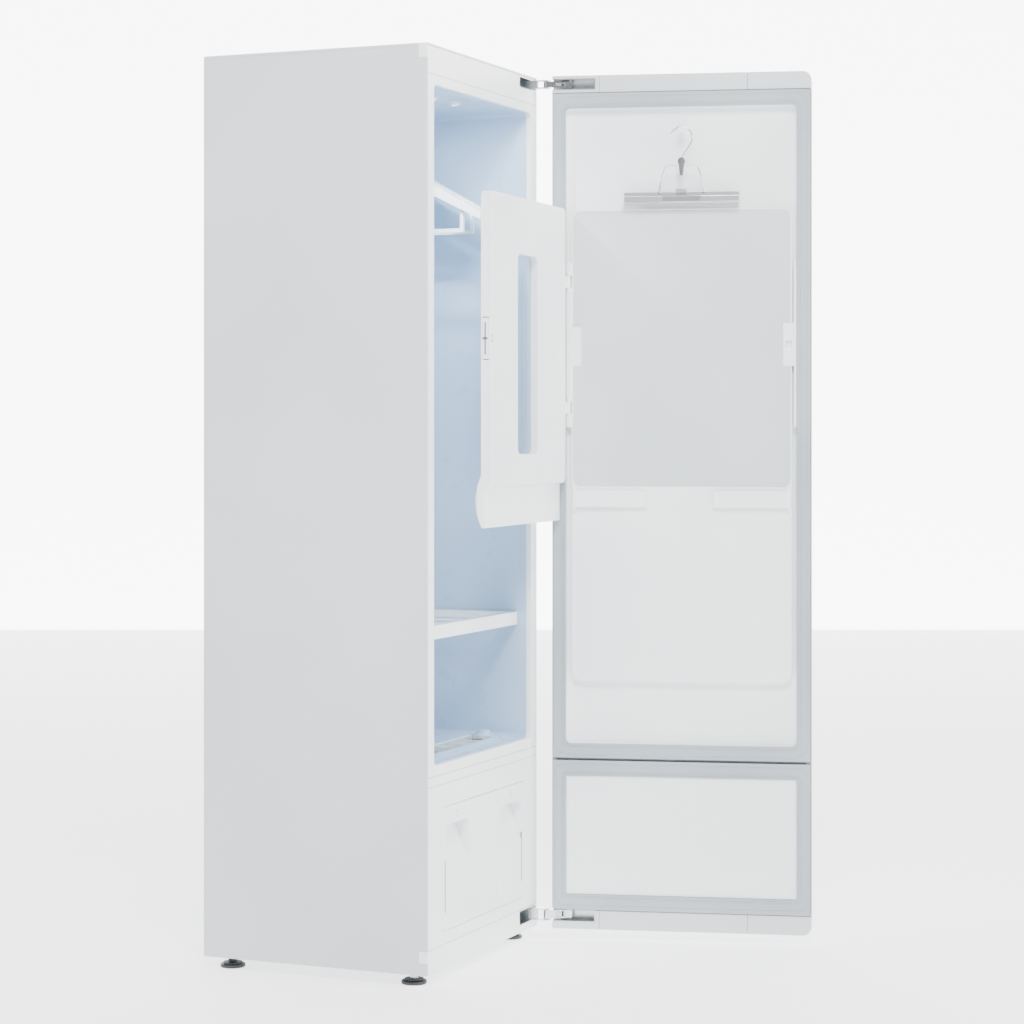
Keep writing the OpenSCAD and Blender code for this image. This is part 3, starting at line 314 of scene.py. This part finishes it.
def modify(piece, kind, **settings):
    """Adds a modifier and applies it."""
    only(piece)
    change = piece.modifiers.new(kind.title(), kind)
    for key, value in settings.items():
        setattr(change, key, value)
    bpy.ops.object.modifier_apply(modifier=change.name)


def soften(piece, width, segments=3, angle=30):
    """Rounds every sharp edge by width, in millimetres, and shades the piece smooth across the rounds."""
    modify(piece, "BEVEL", width=width * MM, segments=segments, limit_method="ANGLE",
           angle_limit=math.radians(angle), harden_normals=False, use_clamp_overlap=True,
           miter_outer="MITER_ARC")
    smooth(piece)
    modify(piece, "WEIGHTED_NORMAL", mode="FACE_AREA", weight=50, keep_sharp=True)


def smooth(piece, angle=40):
    """Shades the piece smooth where its faces meet at less than angle."""
    only(piece)
    bpy.ops.object.shade_smooth_by_angle(angle=math.radians(angle))


def cut(piece, tool):
    """Takes the tool's shape out of the piece."""
    modify(piece, "BOOLEAN", object=tool, operation="DIFFERENCE", solver="EXACT")
    bpy.data.objects.remove(tool)


def join(name, pieces):
    """Joins several pieces into one."""
    nothing_selected()
    for piece in pieces:
        piece.select_set(True)
    bpy.context.view_layer.objects.active = pieces[0]
    bpy.ops.object.join()
    whole = bpy.context.object
    whole.name = name
    return whole


def dress(piece, *finishes):
    """Gives the piece its materials, in slot order."""
    piece.data.materials.clear()
    for key in finishes:
        piece.data.materials.append(FINISH[key])
    return piece


def carry(piece, body, slot, *replaced):
    """The piece moves with a body and stands for the nodes named, which are hidden. slot is not used."""
    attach(piece, body)
    if replaced:
        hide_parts(*replaced)
    return piece


def in_frame(piece, matrix):
    """Turns a piece made in the door's or cover's own directions to where they stand."""
    piece.data.transform(matrix)
    piece.data.update()
    return piece


def refined(node, finish, width, segments=3, extras=()):
    """A copy of a CAD node's shape with rounded edges and a finish, which stands for the node.

    width is the round on its edges in millimetres, or 0 for none. extras are finished pieces joined to it.
    """
    nothing_selected()
    piece = bpy.data.objects.new(node + "_finished", NODES[node].data.copy())
    bpy.context.scene.collection.objects.link(piece)
    only(piece)
    bpy.ops.object.mode_set(mode="EDIT")
    bpy.ops.mesh.select_all(action="SELECT")
    bpy.ops.mesh.remove_doubles(threshold=0.00001)
    bpy.ops.mesh.dissolve_limited(angle_limit=math.radians(0.5))
    bpy.ops.object.mode_set(mode="OBJECT")
    marks = piece.data.attributes.get("sharp_face")
    if marks:
        piece.data.attributes.remove(marks)
    if width:
        soften(piece, width, segments)
    else:
        smooth(piece)
    dress(piece, finish)
    if extras:
        piece = join(piece.name, [piece, *extras])
    return carry(piece, BODY_OF[node], slot_of(node), node)


def slot_of(node):
    """The material slot that the record gives a node."""
    return next(part["material_slot"] for part in frame["record"]["subparts"] if part["node"] == node)


def wire(name, points, radius, closed=False, straight=False):
    """A round wire through points, in millimetres, as a closed mesh tube."""
    curve = bpy.data.curves.new(name, "CURVE")
    curve.dimensions = "3D"
    curve.bevel_depth = radius * MM
    curve.bevel_resolution = 3
    curve.use_fill_caps = True
    line = curve.splines.new("POLY" if straight else "NURBS")
    line.points.add(len(points) - 1)
    for target, point in zip(line.points, points):
        target.co = [c * MM for c in point] + [1]
    line.use_cyclic_u = closed
    if not straight:
        line.use_endpoint_u = not closed
        line.order_u = 4
        line.resolution_u = 10
    piece = bpy.data.objects.new(name, curve)
    bpy.context.scene.collection.objects.link(piece)
    only(piece)
    bpy.ops.object.convert(target="MESH")
    piece = bpy.context.object
    smooth(piece, 60)
    return piece


def round_path(low, high, radius, steps=6):
    """Points round a rectangle with rounded corners."""
    path = []
    for cx, cz, start in ((high[0] - radius, high[1] - radius, 0), (low[0] + radius, high[1] - radius, 90),
                          (low[0] + radius, low[1] + radius, 180), (high[0] - radius, low[1] + radius, 270)):
        for step in range(steps + 1):
            turn = math.radians(start + 90 * step / steps)
            path.append((cx + radius * math.cos(turn), cz + radius * math.sin(turn)))
    return path


def profile(name, outline, pull):
    """A closed flat outline of (x, y, z) points pulled out by a vector, all in millimetres."""
    nothing_selected()
    bpy.ops.mesh.primitive_circle_add(vertices=len(outline), radius=1, fill_type="NGON")
    piece = bpy.context.object
    piece.name = name
    for vertex, point in zip(piece.data.vertices, outline):
        vertex.co = [c * MM for c in point]
    piece.data.update()
    bpy.ops.object.mode_set(mode="EDIT")
    bpy.ops.mesh.select_all(action="SELECT")
    bpy.ops.mesh.extrude_region_move(TRANSFORM_OT_translate={"value": [c * MM for c in pull]})
    bpy.ops.mesh.select_all(action="SELECT")
    bpy.ops.mesh.normals_make_consistent(inside=False)
    bpy.ops.object.mode_set(mode="OBJECT")
    return piece


def strap(length, radius, steps=10):
    """Outline of a flat bar with round ends, from 0 to length along X."""
    ends = []
    for middle, start in ((length, -90), (0, 90)):
        for step in range(steps + 1):
            turn = math.radians(start + 180 * step / steps)
            ends.append((middle + radius * math.cos(turn), radius * math.sin(turn)))
    return ends


def plate(name, outline, low, high, finish, edge=0.4):
    """A flat plate of the outline between two heights, with softened edges."""
    piece = profile(name, [(x, y, low) for x, y in outline], (0, 0, high - low))
    soften(piece, edge, 2)
    return dress(piece, finish)


def rivet(x, y, low, high, radius):
    """A pin with domed heads."""
    piece = disc("rivet", (x, y, (low + high) / 2), radius, high - low, corners=24)
    soften(piece, min(radius, high - low) * 0.3, 4)
    return dress(piece, "pin")


def between(start, end):
    """Matrix whose X runs from one joint's axis to another's, level, with its origin on the first.

    It comes with the distance between them, in millimetres.
    """
    reach = Vector((end[0] - start[0], end[1] - start[1], 0))
    along = reach.normalized()
    return place(along, UP.cross(along), Vector((start[0], start[1], 0))), reach.length / MM


def length(name, description, default, low, high):
    """A length property, whose default and limits are given in millimetres."""
    return bpy.props.FloatProperty(name=name, description=description, default=default * MM, min=low * MM,
                                   max=high * MM, precision=4, unit="LENGTH", subtype="DISTANCE")


def colour(name, description, code):
    """A colour property, whose default is an sRGB hex value."""
    return bpy.props.FloatVectorProperty(name=name, description=description, subtype="COLOR", size=4,
                                         min=0, max=1, default=paint(code))


class CabinetSizes(bpy.types.PropertyGroup):
    """Edge rounds and beads that a user would change"""

    panel_round: length("Panel edge round", "Round on the edges of the side panels", 1.0, 0.2, 3.0)
    moulded_round: length("Moulded edge round", "Round on the moulded front pieces", 0.72, 0.2, 2.0)
    bed_round: length("Press bed round", "Round on the press bed's edges", 1.8, 0.3, 4.0)
    cover_round: length("Press cover round", "Round on the press cover's edges", 2.2, 0.3, 4.0)
    gasket_bead: length("Gasket bead", "Radius of the widest bead round each gasket", 2.0, 0.5, 3.0)


class CabinetColours(bpy.types.PropertyGroup):
    """Colours that a user would change, each with the shade that it drifts to"""

    sheet: colour("Sheet panels", "Powder coat of the side panels, top and back", "#CCD1D5")
    sheet_shade: colour("Sheet panels, shade", "Darker drift of the powder coat", "#C3C8CC")
    moulding: colour("Front mouldings", "Moulded panels of the cabinet's front", "#F6F7F8")
    moulding_shade: colour("Front mouldings, shade", "Darker drift of the front mouldings", "#F0F2F4")
    liner: colour("Chamber liner", "Formed liner of the garment chamber", "#B9D0E5")
    liner_shade: colour("Chamber liner, shade", "Darker drift of the liner", "#A9C4DE")
    gasket: colour("Gaskets", "Soft seals round the door's openings", "#A6AFB3")
    gasket_shade: colour("Gaskets, shade", "Darker drift of the seals", "#9AA3A8")
    board: colour("Pressing board", "Board that the trousers are pressed on", "#C7CDD1")
    board_shade: colour("Pressing board, shade", "Darker drift of the board", "#BEC5C9")


def size(key):
    """One of the sizes, in millimetres."""
    return getattr(bpy.context.scene.cabinet_sizes, key) / MM


class CABINET_OT_casing(bpy.types.Operator):
    """Side panels, top cover, back panel and the front panels of the cabinet"""

    bl_idname = "cabinet.casing"
    bl_label = "Casing"

    def execute(self, context):
        for node in ("side_panel_left", "side_panel_right"):
            refined(node, "coated", size("panel_round"))
        refined("back_panel", "coated", 0)
        refined("top_cover", "coated", 1.5)
        low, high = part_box("front_rails")
        edge, front = high[0] / MM, low[1] / MM
        # Each front moulding with the heights of the seams it shows. A thin dark strip in each seam is painted
        # shadow of the gap.
        for node, heights in (("front_rails", (1897.3, 413.7)), ("opening_frame", (434.3,)),
                              ("lower_fascia", (76.3,)), ("kick_plate", ())):
            lines = []
            for z in heights:
                line = block("seam_shadow_strip", (-edge + 1, front + 0.15, z - 0.3), (edge - 1, front + 3, z + 0.3))
                lines.append(dress(line, "rubber"))
            refined(node, "abs", size("moulded_round"), extras=lines)
        refined("corner_caps", "abs", 0.6)
        refined("base_frame", "galvanised", 0.8, 2)
        refined("panel_screws", "pin", 0.5, 2)
        refined("power_inlet", "nylon", 0.4, 2)
        return {"FINISHED"}


class CABINET_OT_chamber(bpy.types.Operator):
    """Liner of the chamber with its grille, lamps, floor tray, filter and shelf"""

    bl_idname = "cabinet.chamber"
    bl_label = "Chamber"

    def execute(self, context):
        refined("chamber_liner", "liner", 1.5)
        refined("sensor_grille", "liner", 0.3, 2)
        refined("chamber_tray", "liner", 0)
        refined("lint_filter", "polypropylene", 0)
        refined("shelf", "gloss", 2.5, 4)
        refined("hanger_drive", "gloss", 4.0, 4)
        refined("hanger_rail", "pin", 0.8, 3)
        for node in ("garment_hanger_1", "garment_hanger_2"):
            refined(node, "gloss", 4.0, 5)
        lamps = refined("ceiling_lights", "gloss", 0.8, 3)
        lamps.data.materials.append(FINISH["lens"])
        low = min(vertex.co.z for vertex in lamps.data.vertices)
        for face in lamps.data.polygons:
            if face.center.z < low + 0.8 * MM and face.normal.z < -0.5:
                face.material_index = 1
        return {"FINISHED"}


class CABINET_OT_tanks(bpy.types.Operator):
    """Water tanks with their finger scoops, level gauges and printed marks"""

    bl_idname = "cabinet.tanks"
    bl_label = "Water tanks"

    def execute(self, context):
        bay = refined("tank_bay", "abs", 0.5, 2)
        # The bay's faces behind the tank fronts take dark rubber: painted shade in the gaps round the tanks.
        bay.data.materials.append(FINISH["rubber"])
        face_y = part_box("tank_bay")[0][1]
        for face in bay.data.polygons:
            if face.center.y > face_y + 0.8 * MM:
                face.material_index = 1
        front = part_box("tank_right")[0][1] / MM
        low, high = (corner[2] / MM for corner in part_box("tank_right"))
        gauge_inset, mark_inset = 19.3, 82
        for side, hand in (("left", -1), ("right", 1)):
            node = "tank_" + side
            outer = abs(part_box(node)[0 if hand < 0 else 1][0]) / MM
            column = hand * (outer - gauge_inset)
            gauge = block("gauge", (column - 2.7, front - 0.1, low + 36.5),
                          (column + 2.7, front + 2.5, low + 147.5))
            soften(gauge, 1.0, 3)
            extras = [dress(gauge, "gauge")]
            middle = hand * (outer - mark_inset)
            turns = [math.radians(150 + 24 * step) for step in range(11)]
            drop = [(middle + 2.6 * math.cos(turn), front - 0.05, high - 19 + 2.6 * math.sin(turn))
                    for turn in turns]
            drop.append((middle, front - 0.05, high - 12))
            extras.append(dress(wire("drop_mark", drop, 0.35, closed=True, straight=True), "print"))
            for row, half in ((26, 6.5), (28.5, 4.5)):
                mark = block("printed_rule", (middle - half, front - 0.12, high - row),
                             (middle + half, front + 0.2, high - row + 0.7))
                extras.append(dress(mark, "print"))
            refined(node, "abs", 0.8, 3, extras=extras)
        return {"FINISHED"}


class CABINET_OT_machine(bpy.types.Operator):
    """Heat pump, blower, steam generator and the other pieces behind the tanks"""

    bl_idname = "cabinet.machine"
    bl_label = "Machine pieces"

    def execute(self, context):
        refined("compressor", "enamel", 3.0, 3)
        refined("heat_exchangers", "aluminium", 0.3, 1)
        refined("blower_housing", "polypropylene", 1.5, 2)
        refined("blower_wheel", "nylon", 0.3, 1)
        refined("steam_generator", "zinc", 2.0, 3)
        refined("water_pump", "nylon", 1.5, 3)
        refined("control_box", "polypropylene", 1.5, 2)
        return {"FINISHED"}


class CABINET_OT_feet(bpy.types.Operator):
    """Levelling feet"""

    bl_idname = "cabinet.feet"
    bl_label = "Levelling feet"

    def execute(self, context):
        refined("rear_feet", "nylon", 1.2, 3)
        for side in ("left", "right"):
            x, y = (c / MM for c in JOINTS[side + "_foot_turn"]["pos_m"][:2])
            sole = disc("foot_" + side, (x, y, 3.5), 27, 7)
            soften(sole, 1.6, 4)
            pieces = [dress(sole, "nylon")]
            collar = disc("collar", (x, y, 9), 21, 4.4)
            soften(collar, 1.6, 3)
            pieces.append(dress(collar, "nylon"))
            nut = disc("nut", (x, y, 14.5), 10, 7, corners=6)
            soften(nut, 0.7, 2)
            pieces.append(dress(nut, "zinc"))
            stud = disc("stud", (x, y, 27), 4.6, 20, corners=32)
            pieces.append(dress(stud, "zinc"))
            for turn in range(12):
                ridge = disc("thread", (x, y, 18.6 + turn * 1.4), 5.0, 0.8, corners=32)
                soften(ridge, 0.3, 1)
                pieces.append(dress(ridge, "zinc"))
            foot = join("levelling_foot_" + side, pieces)
            carry(foot, "front_foot_" + side, slot_of("front_foot_" + side), "front_foot_" + side)
        return {"FINISHED"}


class CABINET_OT_hinges(bpy.types.Operator):
    """Hinge boxes, arms and links between the cabinet and the door"""

    bl_idname = "cabinet.hinges"
    bl_label = "Door hinges"

    def execute(self, context):
        refined("cabinet_hinge_boxes", "zinc", 0.4, 2)
        refined("door_hinge_boxes", "zinc", 0.4, 2)
        arm, knuckle = JOINTS["arm_turn"]["pos_m"], JOINTS["link_turn"]["pos_m"]
        # The link's far pin in the door, and the lowest and highest point of the upper and the lower hinge.
        pin = DOOR @ Vector((0.040, 0.022, 0))
        levels = ((1930, 1951), (43, 72))
        frame_a, reach = between(arm, knuckle)
        arms = []
        for low, high in levels:
            low, high = low + 1, high - 1
            wide = high - low > 22
            for bottom in (low, high - 2.6):
                leaf = plate("arm_leaf", strap(reach, 8), bottom, bottom + 2.6, "zinc")
                if wide and bottom == low:
                    for x in (8, 21, 34):
                        cut(leaf, block("slot", (x, -2.2, low - 1), (x + 8, 2.2, low + 4)))
                arms.append(leaf)
            web = plate("arm_web", [(-6, -5), (reach - 24, -5), (reach - 20, -3), (reach - 20, 3),
                                    (reach - 24, 5), (-6, 5)], low + 2, high - 2, "zinc", 0.8)
            arms.append(web)
            arms.append(rivet(0, 0, low - 0.4, high + 0.4, 4.4))
            arms.append(rivet(reach, 0, low - 0.7, high + 0.7, 4.6))
            for x, y in ((9, 3.6), (9, -3.6)):
                arms.append(rivet(x, y, low - 0.5, high + 0.5, 1.5))
        arms = in_frame(join("hinge_arms_pressed", arms), frame_a)
        carry(arms, "hinge_arms", slot_of("hinge_arms"), "hinge_arms")
        frame_l, span = between(knuckle, pin)
        links = []
        for low, high in levels:
            middle = (low + high) / 2
            half = 6.5 if high - low < 24 else 9.5
            body = profile("link_body", [(x, y, middle - half) for x, y in strap(span, 7)], (0, 0, 2 * half))
            for side in (-1, 1):
                pocket = block("pocket", (17, side * 7 - 2.6, middle - half + 3),
                               (41, side * 7 + 2.6, middle + half - 3))
                cut(body, pocket)
            for side in (-1, 1):
                step = block("step", (span - 15, side * 7 - 1.6, middle - half - 1),
                             (span - 12.5, side * 7 + 1.6, middle + half + 1))
                cut(body, step)
            soften(body, 0.7, 2)
            links.append(dress(body, "pin"))
            for side in (-1, 1):
                cheek = block("cheek", (21, side * 5.2 - 0.7, middle - half + 4.2),
                              (32, side * 5.2 + 0.7, middle + half - 4.2))
                soften(cheek, 0.5, 2)
                links.append(dress(cheek, "aluminium"))
                shade = block("shade", (35, side * 4.9 - 0.6, middle - half + 3.4),
                              (39, side * 4.9 + 0.6, middle + half - 3.4))
                links.append(dress(shade, "nylon"))
            for x in (0, span):
                links.append(rivet(x, 0, middle - half - 0.6, middle + half + 0.6, 5.2))
        links = in_frame(join("hinge_links_machined", links), frame_l)
        carry(links, "hinge_links", slot_of("hinge_links"), "hinge_links")
        return {"FINISHED"}


class CABINET_OT_door(bpy.types.Operator):
    """Door: glass, frame, liner, gaskets, lower insert and end caps"""

    bl_idname = "cabinet.door"
    bl_label = "Door"

    def execute(self, context):
        refined("door_glass", "glass", 1.0)
        refined("door_frame", "frame", 0.8)
        refined("door_liner", "gloss", 2.5, 4)
        beads = []
        bead_radius = size("gasket_bead")
        # Three beads round each opening: how far outside it, how proud of the seal, and their radius.
        rounds = ((2.6, -3.6, bead_radius), (9.5, -3.3, bead_radius * 0.55), (26.0, -3.2, bead_radius * 0.65))
        for seal_low, seal_high, radius in ((447, 1885, 12), (105, 373, 3)):
            for out, rise, thick in rounds:
                path = round_path((33 - out, seal_low - out), (553 + out, seal_high + out),
                                  radius + out * 0.7)
                bead = wire("bead", [(x, rise, z) for x, z in path], thick, closed=True, straight=True)
                beads.append(dress(in_frame(bead, DOOR), "gasket"))
        refined("door_gaskets", "gasket", 1.0, extras=beads)
        refined("lower_insert", "frosted", 0.8)
        # Clips where the end caps meet the liner, and thin dark strips along those seams: painted shadow of the
        # gaps.
        dots = []
        for x in (108.5, 443):
            for z in (1919.6, 69.4):
                dot = disc("seam_clip", (x, 0.4, z), 1.6, 2.0, (math.pi / 2, 0, 0), 16)
                dots.append(dress(in_frame(dot, DOOR), "nylon"))
        for z in (1921.0, 68.0):
            line = block("seam_shadow_strip", (3, -0.15, z - 0.45), (583, 1.2, z + 0.45))
            dots.append(dress(in_frame(line, DOOR), "rubber"))
        refined("door_caps", "coated", 0.8, extras=dots)
        refined("touch_panel", "display", 0.5)
        return {"FINISHED"}


class CABINET_OT_press_bed(bpy.types.Operator):
    """Press bed, pressing pad, side strips, catch and clamp arms"""

    bl_idname = "cabinet.press_bed"
    bl_label = "Press bed"

    def execute(self, context):
        refined("press_bed", "gloss", size("bed_round"), 4)
        refined("press_pad", "board", 1.0)
        refined("press_side_strips", "gloss", 0.5, 2)
        refined("catch_block", "gloss", 0.8)
        refined("hanger_hook", "gloss", 1.5, 4)
        for node in ("trouser_arm_left", "trouser_arm_right"):
            refined(node, "gloss", 2.6, 5)
        return {"FINISHED"}


class CABINET_OT_press_cover(bpy.types.Operator):
    """Folding press cover with its pressing plate, window and latch"""

    bl_idname = "cabinet.press_cover"
    bl_label = "Press cover"

    def execute(self, context):
        refined("press_cover_shell", "gloss", size("cover_round"), 4)
        refined("press_cover_plate", "gloss", 0.8, 3)
        refined("cover_window", "window", 0.4, 2)
        # The cover's free edge and the middle of its latch, half-way down.
        edge, mid = 506.5, 1348
        lever = []
        # A thin dark block fills the latch's slit: painted shade in the opening.
        painted_shade_slit = block("painted_shade_slit", (edge - 1.0, -16.5, mid - 34), (edge + 0.15, -13.5, mid + 34))
        lever.append(dress(in_frame(painted_shade_slit, COVER), "rubber"))
        bar = block("cross_bar", (edge - 1.0, -20.5, mid - 2.2), (edge + 1.6, -9.5, mid + 2.2))
        soften(bar, 0.9, 3)
        lever.append(dress(in_frame(bar, COVER), "rubber"))
        refined("cover_latch", "gloss", 0.6, 2, extras=lever)
        return {"FINISHED"}


class CABINET_OT_trouser_hanger(bpy.types.Operator):
    """Clamp hanger that holds a pair of trousers over the bed"""

    bl_idname = "cabinet.trouser_hanger"
    bl_label = "Trouser hanger"

    def execute(self, context):
        # Depth and middle of the hanger in the door's directions. The hook bends round its peg at 25 mm.
        deep, mid, bend, peg = -16, 296, 25, 1813
        turns = [math.radians(turn) for turn in (158, 150, 130, 105, 90, 70, 45, 20, -5, -30)]
        hook = [(mid + bend * math.cos(turn), deep, peg + bend * math.sin(turn)) for turn in turns]
        hook += [(mid + 15, deep, 1790), (mid + 6, deep, 1779), (mid + 1, deep, 1769), (mid, deep, 1758)]
        swan = dress(in_frame(wire("hook_wire", hook, 1.6), DOOR), "pin")
        nothing_selected()
        bpy.ops.mesh.primitive_uv_sphere_add(segments=24, ring_count=16, radius=0.0085,
                                             location=(mid * MM, deep * MM, 1.7600))
        bulb = bpy.context.object
        bulb.scale = (1, 0.85, 1.1)
        bpy.ops.object.transform_apply(location=True, rotation=True, scale=True)
        nothing_selected()
        bpy.ops.mesh.primitive_cone_add(vertices=24, radius1=0.0034, radius2=0.0066, depth=0.028,
                                        location=(mid * MM, deep * MM, 1.7430))
        tail = bpy.context.object
        bpy.ops.object.transform_apply(location=True, rotation=True, scale=True)
        toggle = join("toggle", [tail, bulb])
        modify(toggle, "REMESH", mode="VOXEL", voxel_size=0.0006)
        modify(toggle, "SMOOTH", iterations=6)
        smooth(toggle, 80)
        dress(in_frame(toggle, DOOR), "rubber")
        half_bail = ((50, 1688), (49, 1700), (46, 1722), (38, 1745), (33, 1751), (26, 1751))
        bail = [(mid - x, deep, z) for x, z in half_bail] + [(mid, deep, 1751)]
        bail += [(mid + x, deep, z) for x, z in reversed(half_bail)]
        handle = dress(in_frame(wire("bail_wire", bail, 1.3), DOOR), "pin")
        # Sections of the clamp's back bar and of its jaw, with a lip under it, as depth and height.
        half = 130
        rear = [(mid - half, y, z) for y, z in ((-16, 1662), (-7, 1662), (-7, 1687), (-9, 1692), (-16, 1692))]
        back = profile("clamp_back", rear, (2 * half, 0, 0))
        soften(back, 0.9, 3)
        pieces = [dress(in_frame(back, DOOR), "aluminium"), swan, toggle, handle]
        for side in (-1, 1):
            eye = disc("bail_eye", (mid + side * 50, -16, 1689), 3.2, 2.6, (math.pi / 2, 0, 0), 24)
            soften(eye, 0.8, 2)
            pieces.append(dress(in_frame(eye, DOOR), "pin"))
        whole = join("clamp_hanger", pieces)
        carry(whole, "trouser_hanger", slot_of("trouser_hanger"), "trouser_hanger")
        front = ((-16.6, 1662), (-16.6, 1684), (-21, 1684), (-22.5, 1682), (-22.5, 1668.5), (-25, 1667),
                 (-25, 1662.5), (-23, 1662))
        jaw = profile("clamp_jaw", [(mid - half, y, z) for y, z in front], (2 * half, 0, 0))
        soften(jaw, 0.8, 3, 20)
        label = block("blank_label", (mid - 42, -23.0, 1670), (mid + 42, -22.0, 1682))
        soften(label, 0.3, 2)
        pieces = [dress(in_frame(jaw, DOOR), "aluminium"), dress(in_frame(label, DOOR), "zinc")]
        for side in (-1, 1):
            cap = profile("end_cap", [(mid + side * half, y, z) for y, z in front], (side * -3, 0, 0))
            soften(cap, 0.5, 2)
            pieces.append(dress(in_frame(cap, DOOR), "abs"))
        jaw = join("clamp_jaw", pieces)
        carry(jaw, "hanger_jaw", slot_of("hanger_jaw"), "hanger_jaw")
        refined("hanger_lock", "aluminium", 0.8, 2)
        return {"FINISHED"}


class CABINET_OT_stage(bpy.types.Operator):
    """Pale floor, soft studio light and the camera"""

    bl_idname = "cabinet.stage"
    bl_label = "Stage"

    def execute(self, context):
        scene = context.scene
        nothing_selected()
        bpy.ops.mesh.primitive_plane_add(size=60, location=(0, 0, -0.0005))
        floor = bpy.context.object
        floor.name = "studio_floor"
        made, tree, body = surface("studio_floor_paper", Roughness=0.9, Emission_Color=paint("#FFFFFF"),
                                   Emission_Strength=2.2)
        tree.links.new(tint(tree, grain(tree, 900, 1.0), "#C8CACC", "#CCCED0"), body.inputs["Base Color"])
        floor.data.materials.append(made)
        nothing_selected()
        bpy.ops.mesh.primitive_plane_add(size=1, location=(8.3, 3.5, 3.0),
                                         rotation=(math.pi / 2, 0, math.radians(VIEW_TURN)))
        screen = bpy.context.object
        screen.name = "lit_backdrop"
        screen.scale = (30, 14, 1)
        bpy.ops.object.transform_apply(location=True, rotation=True, scale=True)
        made, tree, body = surface("lit_backdrop_paper", Roughness=1.0, Emission_Strength=7.0)
        drift = grain(tree, 4000, 1.0)
        tree.links.new(tint(tree, drift, "#FFFFFF", "#FDFEFF"), body.inputs["Emission Color"])
        screen.data.materials.append(made)
        world = bpy.data.worlds.new("soft_white")
        scene.world = world
        world.use_nodes = True
        sky = world.node_tree.nodes["Background"]
        sky.inputs["Color"].default_value = paint("#FFFFFF")
        sky.inputs["Strength"].default_value = 0.38
        # Each softbox: its place, what it points at, its width in metres and its power in watts.
        lamps = (("key", (-3.3, -2.1, 4.5), (-0.3, 0.0, 1.4), 1.7, 420),
                 ("front", (0.9, -5.2, 2.6), (0.1, -0.3, 1.0), 1.8, 260),
                 ("fill", (-5.0, 1.5, 1.2), (0.0, 0.0, 0.7), 2.2, 25),
                 ("chamber", (-0.06, -0.15, 1.868), (-0.06, -0.15, 0.5), 0.04, 4.0))
        for name, spot, target, width, power in lamps:
            light = bpy.data.lights.new(name + "_softbox", "AREA")
            light.size = width
            light.energy = power
            holder = bpy.data.objects.new(name + "_softbox", light)
            scene.collection.objects.link(holder)
            holder.location = spot
            holder.rotation_euler = (Vector(target) - Vector(spot)).to_track_quat("-Z", "Y").to_euler()
        camera = bpy.data.cameras.new("studio_camera")
        camera.lens = 89.7
        camera.sensor_width = 36
        camera.shift_y = -0.0825
        holder = bpy.data.objects.new("studio_camera", camera)
        scene.collection.objects.link(holder)
        holder.location = (-5.0965, -2.478, 1.162)
        holder.rotation_euler = (math.pi / 2, 0, math.radians(VIEW_TURN))
        scene.camera = holder
        return {"FINISHED"}


STEPS = (CABINET_OT_casing, CABINET_OT_chamber, CABINET_OT_tanks, CABINET_OT_machine, CABINET_OT_feet,
         CABINET_OT_hinges, CABINET_OT_door, CABINET_OT_press_bed, CABINET_OT_press_cover,
         CABINET_OT_trouser_hanger, CABINET_OT_stage)


class CABINET_PT_pieces(bpy.types.Panel):
    """Lists the sizes and the building steps"""

    bl_label = "Garment cabinet"
    bl_idname = "CABINET_PT_pieces"
    bl_space_type = "VIEW_3D"
    bl_region_type = "UI"
    bl_category = "Cabinet"

    def draw(self, context):
        for group in (context.scene.cabinet_sizes, context.scene.cabinet_colours):
            for key in group.bl_rna.properties.keys():
                if key not in ("rna_type", "name"):
                    self.layout.prop(group, key)
        for step in STEPS:
            self.layout.operator(step.bl_idname)


CLASSES = (CabinetSizes, CabinetColours, *STEPS, CABINET_PT_pieces)


def register():
    """Adds the sizes, the colours, the building steps and the panel."""
    for item in CLASSES:
        bpy.utils.register_class(item)
    bpy.types.Scene.cabinet_sizes = bpy.props.PointerProperty(type=CabinetSizes)
    bpy.types.Scene.cabinet_colours = bpy.props.PointerProperty(type=CabinetColours)


def unregister():
    """Takes them away again."""
    del bpy.types.Scene.cabinet_colours
    del bpy.types.Scene.cabinet_sizes
    for item in reversed(CLASSES):
        bpy.utils.unregister_class(item)


def main():
    """Builds every piece."""
    register()
    FINISH.update(make_materials())
    for step in STEPS:
        group, name = step.bl_idname.split(".")
        getattr(getattr(bpy.ops, group), name)()


if __name__ == "__main__":
    main()
